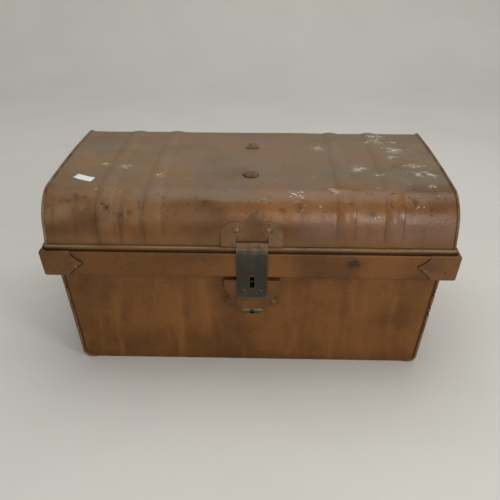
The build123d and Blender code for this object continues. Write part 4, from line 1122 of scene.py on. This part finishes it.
def lid_rise(x, y, z):
    """How far the lid's sheet stands out from its plain outline at a place."""
    ring_middle = -28 * mm
    ring_radius = 74 * mm
    ring_width = 9 * mm
    from_ring = hypot(x / 1.25, y - ring_middle) - ring_radius
    pressed_ring = -0.5 * exp(-((from_ring / ring_width) ** 2))
    waves = 0.62 * buckle(x, y, z, 75 * mm, 1.7) + 0.38 * buckle(x, y, z, 26 * mm, 4.1)
    buckled = sizes().wave * lid_calm(x, y, z) * (waves - 0.25 + pressed_ring)
    return dent_rise(Vector((x, y, z))) + rib_rise(x, z) + buckled


def lid_point(x, along_front):
    """A point and its outward direction on the lid's plain outline, measured up from the shoulder's foot."""
    turn_length = lid_shoulder * (pi / 2 - crown_run / (crown_radius - lid_shoulder))
    if along_front < 0:
        y, z, out = -lid_half_y, shoulder_height + along_front, Vector((0, -1, 0))
    elif along_front < turn_length:
        turn = along_front / lid_shoulder
        out = Vector((0, -cos(turn), sin(turn)))
        y, z = -crown_run + lid_shoulder * out.y, shoulder_height + lid_shoulder * out.z
    else:
        start = -crown_run / (crown_radius - lid_shoulder)
        tilt = start + (along_front - turn_length) / crown_radius
        out = Vector((0, sin(tilt), cos(tilt)))
        y, z = crown_radius * out.y, lid_top - crown_radius + crown_radius * out.z
    return Vector((x, y, z)), out


# dents in the lid: x, way up the lid from the shoulder's foot, reach and depth (outwards), in mm
dents = (
    (-172, 30, 7, -1.0), (-164, 8, 6, 0.8), (-170, -6, 7, -0.7), (-146, 22, 8, -0.8), (-132, 40, 7, -0.9),
    (-106, 36, 8, -1.0), (-118, 12, 6, -0.7), (-207, 33, 9, -0.9), (-196, 26, 5, 0.7), (-60, 26, 12, -0.6),
    (38, 20, 9, -0.6), (62, 24, 8, -0.7), (118, 36, 7, -0.9), (140, 18, 9, -0.7), (196, 36, 8, -0.8),
    (205, 66, 14, -0.9), (150, 130, 16, -0.9), (186, 180, 13, -1.0), (90, 150, 18, -0.8),
)
dent_middles = [
    (lid_point(x * mm, along_front * mm)[0], reach * mm, depth * mm) for x, along_front, reach, depth in dents
]


def on_lid(x, along_front):
    """A point and its outward direction on the lid as it is pressed and dented."""
    point, out = lid_point(x, along_front)
    return point + out * lid_rise(*point), out


def columns(half, fine, coarse):
    """Places across the lid's sheet, close together near each rib."""
    near_rib = 14 * mm
    places = [-half]
    while places[-1] < half:
        at = places[-1]
        close = any(abs(abs(at) - place) < near_rib for place in rib_places)
        places.append(min(half, at + (fine if close else coarse)))
    return places


class TRUNK_OT_lid(Operator):
    """Makes the lid's sheet with its pressed ribs, its end panels with rolled seams, and its rolled rim"""

    bl_idname = "trunk.lid"
    bl_label = "Lid"

    def execute(self, context):
        make_lid_sheet()
        for side in (-1, 1):
            make_lid_end(side)
        make_lid_rim()
        return {"FINISHED"}


def make_lid_sheet():
    """The lid's front, top and back in one sheet, its ribs pressed out and its metal slightly buckled."""
    work = bmesh.new()
    across = columns(lid_half_x - sheet, 1.5 * mm, 3.2 * mm)
    rows = []
    for y, z, out_y, out_z in lid_section(skirt_foot):
        row = []
        for x in across:
            rise = lid_rise(x, y, z)
            row.append((x, y + out_y * rise, z + out_z * rise))
        rows.append(row)
    grid(work, rows)
    piece = new_piece("lid_sheet_pressed", work, "lid_paint", "lid", ["lid_sheet"])
    thickened(piece, sheet)


def make_lid_end(side):
    """An end panel of the lid, very slightly dished, with the rolled seam over its edge."""
    name = "right" if side > 0 else "left"
    inset = 0.4 * mm
    dished = 0.8 * mm
    rings = 9
    innermost = 0.03
    work = bmesh.new()
    section = lid_section(skirt_foot)
    outline = [Vector((y - out_y * inset, z - out_z * inset)) for y, z, out_y, out_z in section]
    middle = Vector((0, (skirt_foot + lid_top) / 2))
    rows = []
    for ring in range(rings + 1):
        share = 1 - ring / rings * (1 - innermost)
        calm = min(1.0, (1 - share) * 5)
        row = []
        for point in outline:
            at = middle + (point - middle) * share
            dish = calm * (dished + sizes().wave * buckle(side, at.x, at.y, 55 * mm, 9.3))
            row.append((side * (lid_half_x - dish), at.x, at.y))
        rows.append(row)
    rows = rows if side > 0 else [row[::-1] for row in rows]
    lines = grid(work, rows)
    work.faces.new(lines[-1])
    foot = [line[0] for line in lines] + [line[-1] for line in lines[::-1]]
    work.faces.new(foot[::-1])
    bmesh.ops.recalc_face_normals(work, faces=work.faces)
    if sum(face.normal.x for face in work.faces) * side < 0:
        bmesh.ops.reverse_faces(work, faces=work.faces)
    panel = new_piece(f"lid_end_panel_{name}", work, "lid_paint", "lid", [f"lid_end_{name}"])
    thickened(panel, sheet)
    make_lid_seam(side, name)


def make_lid_seam(side, name):
    """The raised seam that follows the lid's outline where its sheet is rolled over an end panel."""
    sides = 10
    radius = sizes().seam_radius
    seam_x = side * (lid_half_x - seam_inset)
    work = bmesh.new()
    rows = []
    for y, z, out_y, out_z in lid_section(rim_top + 0.3 * mm):
        crush = 1 + 0.1 * buckle(side, y, z, 14 * mm, 6.6)
        row = []
        for step in range(sides):
            turn = 2 * pi * step / sides
            out = radius * sin(turn) * 0.97
            row.append((seam_x + radius * cos(turn) * crush, y + out_y * out, z + out_z * out))
        rows.append(row + row[:1])
    grid(work, rows)
    bmesh.ops.remove_doubles(work, verts=work.verts, dist=weld)
    bmesh.ops.holes_fill(work, edges=[edge for edge in work.edges if edge.is_boundary])
    bmesh.ops.recalc_face_normals(work, faces=work.faces)
    new_piece(f"lid_seam_{name}", work, "seam_paint", "lid")


def make_lid_rim():
    """The lid's edge rolled over its wire, all the way round with small rounded corners."""
    half_x = lid_half_x + rim_out
    half_y = lid_half_y + rim_out
    corner = 3.5 * mm
    corner_steps = 4
    uneven = 0.18 * mm
    clear = 0.05 * mm
    work = bmesh.new()
    outline = []
    for quarter, (sign_x, sign_y) in enumerate([(1, 1), (-1, 1), (-1, -1), (1, -1)]):
        middle = Vector((sign_x * (half_x - corner), sign_y * (half_y - corner)))
        for step in range(corner_steps + 1):
            turn = pi / 2 * (quarter + step / corner_steps)
            outline.append((middle.x + corner * cos(turn), middle.y + corner * sin(turn)))
    outline.append(outline[0])
    path = [
        (x, y, rim_height + uneven * buckle(x, y, 0, 30 * mm, 2.2)) for x, y in divided(outline, 9 * mm)[:-1]
    ]
    tube(work, path, sizes().rim_radius - clear, 16, closed=True)
    bmesh.ops.recalc_face_normals(work, faces=work.faces)
    new_piece("lid_rim_rolled", work, "rim_paint", "lid")


# ---------------------------------------------------------------- tub
def tub_profile(half, ends):
    """One side of the tub from the lip to the floor and under, as (distance, height)."""
    foot = half - wall_lean * band_height
    wall_top = foot - step_in
    wall_foot = wall_top - wall_lean * band_foot
    points = [
        (half - ledge_width, band_top - lip_depth),
        (half - ledge_width, band_top),
        (half, band_top),
        (foot, band_foot),
        (wall_top, band_foot),
        (wall_foot, 0),
    ]
    under = 2 * foot_radius if ends else wall_foot
    points.append((wall_foot - under, 0))
    foot_bend = foot_radius if ends else fold
    return divided(rounded_line(points, [fold, fold, band_fold, fold - sheet, foot_bend]), 5 * mm)


# upright creases in the tub's walls: x at the band in mm, how far each leans from upright, and width in mm
creases = ((-122, -0.06, 4), (-88, -0.02, 3.5), (78, -0.08, 3), (128, -0.09, 3), (172, 0.05, 5))


def wall_rise(x, z, seed, reach, fixed):
    """How far a wall of the tub stands out from its plain face at a place."""
    calm = within(reach - abs(x), 30 * mm) * within(abs(z - band_foot), 9 * mm) * keep_off(x, z, fixed)
    calm *= min(1.0, z / (14 * mm)) if z < band_foot else within(band_top - z, 8 * mm)
    wave = 0.65 * buckle(x, seed, z, 68 * mm, seed) + 0.35 * buckle(x, seed, z, 24 * mm, seed + 3)
    ridge = 0.0
    if z < band_foot:
        for place, lean, width in creases:
            off = (x - place * mm - lean * (band_foot - z)) / (width * mm)
            ridge += 1.1 * exp(-off * off) - 0.6 * exp(-((off - 2.2) ** 2))
    return sizes().wave * calm * (wave + ridge - 0.15)


def wall_grid(work, half, other_half, turn, ends, seed, fixed):
    """One wall of the tub as a grid of rows down its profile, turned to its side of the trunk."""
    spin = Matrix.Rotation(turn, 3, "Z")
    count = round(2 * other_half / (2.4 * mm))
    drawn_in = step_in + wall_lean * band_top
    rows = []
    for distance, z in tub_profile(half, ends):
        reach = distance + other_half - half
        wall_reach = other_half - drawn_in + wall_lean * z
        if z < foot_radius and not ends:
            turn_in = foot_radius - sqrt(max(0.0, foot_radius**2 - (foot_radius - z) ** 2))
            reach = wall_reach - turn_in
        elif z < band_foot:
            reach = max(reach, wall_reach)
        if ends and z < fold and distance < half - drawn_in:
            reach = min(reach, other_half - drawn_in)
        row = []
        for step in range(count + 1):
            x = reach * (2 * step / count - 1)
            rise = wall_rise(x, z, seed, reach, fixed) if distance > half * 0.8 else 0.0
            row.append(spin @ Vector((x, -distance - rise, z)))
        rows.append(row)
    grid(work, rows)


class TRUNK_OT_tub(Operator):
    """Makes the tub's walls with the stepped-out band, and the rolled seams down its corners"""

    bl_idname = "trunk.tub"
    bl_label = "Tub"

    def execute(self, context):
        make_tub_sheet()
        for side in (-1, 1):
            make_tub_end(side)
        return {"FINISHED"}


def make_tub_sheet():
    """Front, bottom and back of the tub in one sheet, with its band."""
    work = bmesh.new()
    wall_grid(work, body_half_y, body_half_x, 0, False, 5.1, lock_area)
    wall_grid(work, body_half_y, body_half_x, pi, False, 8.4, bare_wall)
    bmesh.ops.remove_doubles(work, verts=work.verts, dist=weld)
    face_outward(work)
    piece = new_piece("tub_sheet_folded", work, "tub_paint", "body", ["body_sheet"])
    thickened(piece, sheet)


def make_tub_end(side):
    """An end panel of the tub with its band and the rolled seams down its two corners."""
    name = "right" if side > 0 else "left"
    work = bmesh.new()
    wall_grid(work, body_half_x, body_half_y, side * pi / 2, True, 12.5 + side, handle_area)
    face_outward(work)
    piece = new_piece(f"tub_end_{name}", work, "tub_paint", "body", [f"body_end_{name}"])
    thickened(piece, sheet)
    make_tub_seams(side, name)


def make_tub_seams(side, name):
    """The rolled seams down the two corners of an end panel, turned in under the tub."""
    work = bmesh.new()
    radius = sizes().seam_radius
    off_floor = 0.3 * mm
    uneven = 0.15 * mm
    wall_x = body_half_x - wall_lean * band_height - step_in
    wall_y = body_half_y - wall_lean * band_height - step_in
    drop = band_foot - radius - off_floor
    top_x = wall_x - seam_inset
    foot_x = top_x - wall_lean * drop
    foot_z = band_foot - drop
    corners = [(top_x, band_foot), (foot_x, foot_z), (foot_x - 1.7 * foot_radius, foot_z)]
    side_view = divided(rounded_line(corners, [foot_radius], 8), 5 * mm)
    for front in (-1, 1):
        path = []
        for x, z in side_view:
            y = wall_y - wall_lean * (band_foot - max(z, foot_z))
            nudge = uneven * buckle(x, y, z, 18 * mm, 3.3 + front)
            path.append((side * (x + nudge), front * y, z))
        tube(work, path, radius, 12)
    bmesh.ops.recalc_face_normals(work, faces=work.faces)
    new_piece(f"tub_seams_{name}", work, "tub_seam_paint", "body")


# ---------------------------------------------------------------- fittings
class TRUNK_OT_corner_caps(Operator):
    """Makes the four corner caps over the band, each with its two rivets"""

    bl_idname = "trunk.corner_caps"
    bl_label = "Corner Caps"

    def execute(self, context):
        for place in ("front_left", "front_right", "back_left", "back_right"):
            cap = f"corner_cap_{place}"
            dressed(f"cap_{place}", cap, "cap_paint", "body", 0.12 * mm, worn=0.8)
        heads("cap_rivets", "corner_cap_rivets", "body", 0.1 * mm)
        return {"FINISHED"}


class TRUNK_OT_hasp(Operator):
    """Makes the hasp's plate, pin, strap and staple, with their rivets"""

    bl_idname = "trunk.hasp"
    bl_label = "Hasp"

    def execute(self, context):
        dressed("hasp_plate_pointed", "hasp_plate", "hasp_paint", "lid", 0.1 * mm)
        dressed("hasp_pin_round", "hasp_pin", "dark_steel", "lid")
        heads("hasp_plate_heads", "hasp_plate_rivets", "lid", 0.15 * mm)
        dressed("strap_bent", "hasp_strap", "dark_steel", "hasp", 0.1 * mm)
        dressed("staple_eye", "staple", "dark_steel", "hasp")
        heads("staple_heads", "staple_rivets", "hasp", finish="dark_steel")
        return {"FINISHED"}


class TRUNK_OT_lock(Operator):
    """Makes the lock's cover and its rivets, and finishes the works behind it"""

    bl_idname = "trunk.lock"
    bl_label = "Lock"

    def execute(self, context):
        dressed("lock_cover_domed", "lock_cover", "cover_paint", "body", 0.1 * mm)
        heads("lock_cover_heads", "lock_cover_rivets", "body", 0.15 * mm)
        for node in ("lock_back_plate", "key_post", "bolt_spring", "lock_bolt"):
            repaint(node, "dark_steel")
        return {"FINISHED"}


class TRUNK_OT_hinges(Operator):
    """Finishes the two hinges at the back"""

    bl_idname = "trunk.hinges"
    bl_label = "Hinges"

    def execute(self, context):
        for side in ("left", "right"):
            for level, body in (("low", "body"), ("high", "lid")):
                name = f"hinge_leaf_{level}_{side}"
                leaf = f"hinge_{body}_leaf_{side}"
                dressed(name, leaf, "plate_paint", body, 0.06 * mm)
            dressed(f"hinge_pin_round_{side}", f"hinge_pin_{side}", "rusty_steel", "body")
        heads("hinge_heads_low", "hinge_body_rivets", "body")
        heads("hinge_heads_high", "hinge_lid_rivets", "lid")
        return {"FINISHED"}


class TRUNK_OT_handles(Operator):
    """Makes the drop handles, their plates and rivets at the two ends"""

    bl_idname = "trunk.handles"
    bl_label = "Handles"

    def execute(self, context):
        for side in ("left", "right"):
            plate = f"handle_plate_{side}"
            dressed(f"handle_base_{side}", plate, "plate_paint", "body", 0.08 * mm)
            dressed(f"handle_wire_{side}", f"handle_{side}", "rusty_steel", f"{side}_handle")
        heads("handle_heads", "handle_rivets", "body")
        repaint("lid_rim_wire", "rusty_steel")
        return {"FINISHED"}


class TRUNK_OT_top_fixings(Operator):
    """Makes the two washers and clinched studs on the lid's top"""

    bl_idname = "trunk.top_fixings"
    bl_label = "Top Fixings"

    def execute(self, context):
        dressed("top_washers_cut", "top_washers", "plate_paint", "lid", 0.15 * mm)
        heads("top_stud_heads", "top_studs", "lid", 0.15 * mm)
        return {"FINISHED"}


# ---------------------------------------------------------------- what has landed on the lid
def blob(work, point, out, across, size, points, rng, stretch=1.15):
    """A small flat splash of paint with a ragged outline."""
    side = out.cross(across).normalized()
    centre = work.verts.new(point + out * min(0.25 * mm, size * 0.14))
    ring = []
    for step in range(points):
        turn = 2 * pi * step / points
        reach = size * rng.uniform(0.6, 1.15)
        spot = point + (across * cos(turn) * stretch + side * sin(turn) / stretch) * reach
        ring.append(work.verts.new(spot + out * 0.03 * mm))
    for at in range(points):
        work.faces.new((centre, ring[at], ring[(at + 1) % points]))
    work.faces.new(tuple(reversed(ring)))


class TRUNK_OT_flecks(Operator):
    """Scatters flecks of pale paint over the lid, most of them on its right"""

    bl_idname = "trunk.flecks"
    bl_label = "Paint Flecks"

    def execute(self, context):
        rng = random.Random(41)
        work = bmesh.new()
        reach = lid_half_x - 8 * mm
        for _ in range(context.scene.trunk_stage.flecks):
            from_right = rng.random() < 0.75
            x = reach * (1 - abs(rng.gauss(0, 0.5))) if from_right else rng.uniform(-reach, reach)
            x = max(-reach, min(reach, x))
            point, out = on_lid(x, rng.uniform(6 * mm, 240 * mm))
            size = rng.choice((0.4, 0.5, 0.6, 0.7, 0.8, 0.9)) * mm
            spin = Matrix.Rotation(rng.uniform(0, pi), 3, out)
            blob(work, point, out, spin @ Vector((1, 0, 0)), size, 9, rng)
        for x, along_front, width in smudges:
            spread = width * mm
            for _ in range(2 + width // 2):
                point, out = on_lid(
                    x * mm + rng.gauss(0, 0.5) * spread, along_front * mm + rng.gauss(0, 0.35) * spread
                )
                size = rng.uniform(0.06, 0.2) * spread
                spin = Matrix.Rotation(rng.gauss(0, 0.4), 3, out)
                blob(work, point, out, spin @ Vector((1, 0, 0)), size, 11, rng, 1.9)
        face_outward(work)
        new_piece("pale_paint_flecks", work, "pale_flecks", "lid")
        return {"FINISHED"}


class TRUNK_OT_label(Operator):
    """Sticks the small blank paper label on the lid's left shoulder"""

    bl_idname = "trunk.label"
    bl_label = "Paper Label"

    def execute(self, context):
        low_left = Vector((-218, 79)) * mm
        low_right = Vector((-193.5, 66)) * mm
        high_left = Vector((-214, 91)) * mm
        high_right = Vector((-190.5, 79)) * mm
        lift = 0.12 * mm
        curl = 1.6 * mm
        cells = 8
        shares = [cell / cells for cell in range(cells + 1)]
        work = bmesh.new()
        rows = []
        for up in shares:
            row = []
            for across in shares:
                low = low_left.lerp(low_right, across)
                high = high_left.lerp(high_right, across)
                point, out = on_lid(*low.lerp(high, up))
                to_corner = abs(across - 0.5) + abs(up - 0.5) - 0.72
                row.append(point + out * (lift + max(0.0, to_corner) * curl))
            rows.append(row)
        grid(work, rows)
        face_outward(work)
        piece = new_piece("paper_label_blank", work, "blank_paper", "lid")
        thickened(piece, 0.1 * mm)
        return {"FINISHED"}


# ---------------------------------------------------------------- stage
aimed_at = Vector((0, 0, 120 * mm))
camera_place = Vector((0.016, -0.8639, 0.5325))
camera_pitch = 0.461
camera_turn = 0.023
camera_roll = -0.004
focal_pixels = 679
shift_pixels = -1
frame_pixels = 500
sensor = 36


class TRUNK_OT_stage(Operator):
    """Sets the pale floor, the soft lamps and the camera"""

    bl_idname = "trunk.stage"
    bl_label = "Stage"

    def execute(self, context):
        scene = context.scene
        scene.view_settings.view_transform = "Standard"
        make_floor()
        make_lamps(scene)
        lens = bpy.data.cameras.new("camera")
        lens.sensor_width = sensor
        lens.lens = focal_pixels / frame_pixels * sensor
        lens.shift_y = shift_pixels / frame_pixels
        lens.clip_start = 0.01
        camera = bpy.data.objects.new("camera", lens)
        camera.location = camera_place
        camera.rotation_euler = Euler((pi / 2 - camera_pitch, camera_roll, camera_turn), "XYZ")
        scene.collection.objects.link(camera)
        scene.camera = camera
        return {"FINISHED"}


def make_floor():
    """A wide floor that curves up behind the trunk into a backdrop."""
    reach = 4.0
    back = 2.2
    top = 3.0
    bend = 0.9
    work = bmesh.new()
    profile = divided(rounded_line([(-reach, 0.0), (back, 0.0), (back, top)], [bend], 12), 0.5)
    grid(work, [[(x, y, z) for x in (-reach, -reach / 2, 0, reach / 2, reach)] for y, z in profile])
    mesh_object("floor", work, "pale_floor")


def make_lamps(scene):
    """A wide soft lamp above, a smaller one at the right, an upright strip in front, and even room light."""
    settings = scene.trunk_stage
    # name, place, width and height, and power
    lamps = (
        ("lamp_above", (0.15, 0.35, 1.7), (1.4, 1.4), settings.lamp),
        ("lamp_right", (1.4, -1.4, 0.8), (0.5, 0.5), settings.side_lamp),
        ("lamp_tall", (0.52, -2.4, 0.85), (0.14, 1.6), settings.tall_lamp),
    )
    for name, place, (wide, high), power in lamps:
        light = bpy.data.lights.new(name, "AREA")
        light.shape = "RECTANGLE"
        light.size = wide
        light.size_y = high
        light.energy = power
        lamp = bpy.data.objects.new(name, light)
        lamp.location = place
        lamp.rotation_euler = (aimed_at - Vector(place)).to_track_quat("-Z", "Y").to_euler()
        scene.collection.objects.link(lamp)
    world = bpy.data.worlds.new("room")
    world.use_nodes = True
    back = world.node_tree.nodes["Background"]
    back.inputs["Color"].default_value = (1, 0.985, 0.96, 1)
    back.inputs["Strength"].default_value = settings.world
    scene.world = world


# ---------------------------------------------------------------- panel and registration
steps = (
    TRUNK_OT_stage,
    TRUNK_OT_lid,
    TRUNK_OT_tub,
    TRUNK_OT_corner_caps,
    TRUNK_OT_hasp,
    TRUNK_OT_lock,
    TRUNK_OT_hinges,
    TRUNK_OT_handles,
    TRUNK_OT_top_fixings,
    TRUNK_OT_flecks,
    TRUNK_OT_label,
)


class TRUNK_PT_panel(Panel):
    """The trunk's settings and the buttons that build its pieces"""

    bl_idname = "TRUNK_PT_panel"
    bl_label = "Small Tin Trunk"
    bl_space_type = "VIEW_3D"
    bl_region_type = "UI"
    bl_category = "Tin Trunk"

    def draw(self, context):
        layout = self.layout
        for settings in (context.scene.trunk_sizes, context.scene.trunk_colours, context.scene.trunk_stage):
            box = layout.box()
            for name in settings.__annotations__:
                box.prop(settings, name)
        for step in steps:
            layout.operator(step.bl_idname)


classes = (TrunkColours, TrunkSizes, TrunkStage, *steps, TRUNK_PT_panel)


def register():
    """Registers the classes and hangs the settings on the scene."""
    for kind in classes:
        bpy.utils.register_class(kind)
    bpy.types.Scene.trunk_colours = PointerProperty(type=TrunkColours)
    bpy.types.Scene.trunk_sizes = PointerProperty(type=TrunkSizes)
    bpy.types.Scene.trunk_stage = PointerProperty(type=TrunkStage)


def unregister():
    """Takes the settings and the classes away again."""
    del bpy.types.Scene.trunk_colours
    del bpy.types.Scene.trunk_sizes
    del bpy.types.Scene.trunk_stage
    for kind in reversed(classes):
        bpy.utils.unregister_class(kind)


def main():
    """Builds the whole trunk."""
    register()
    for step in steps:
        name = step.bl_idname.split(".")[1]
        getattr(bpy.ops.trunk, name)()


if __name__ == "__main__":
    main()
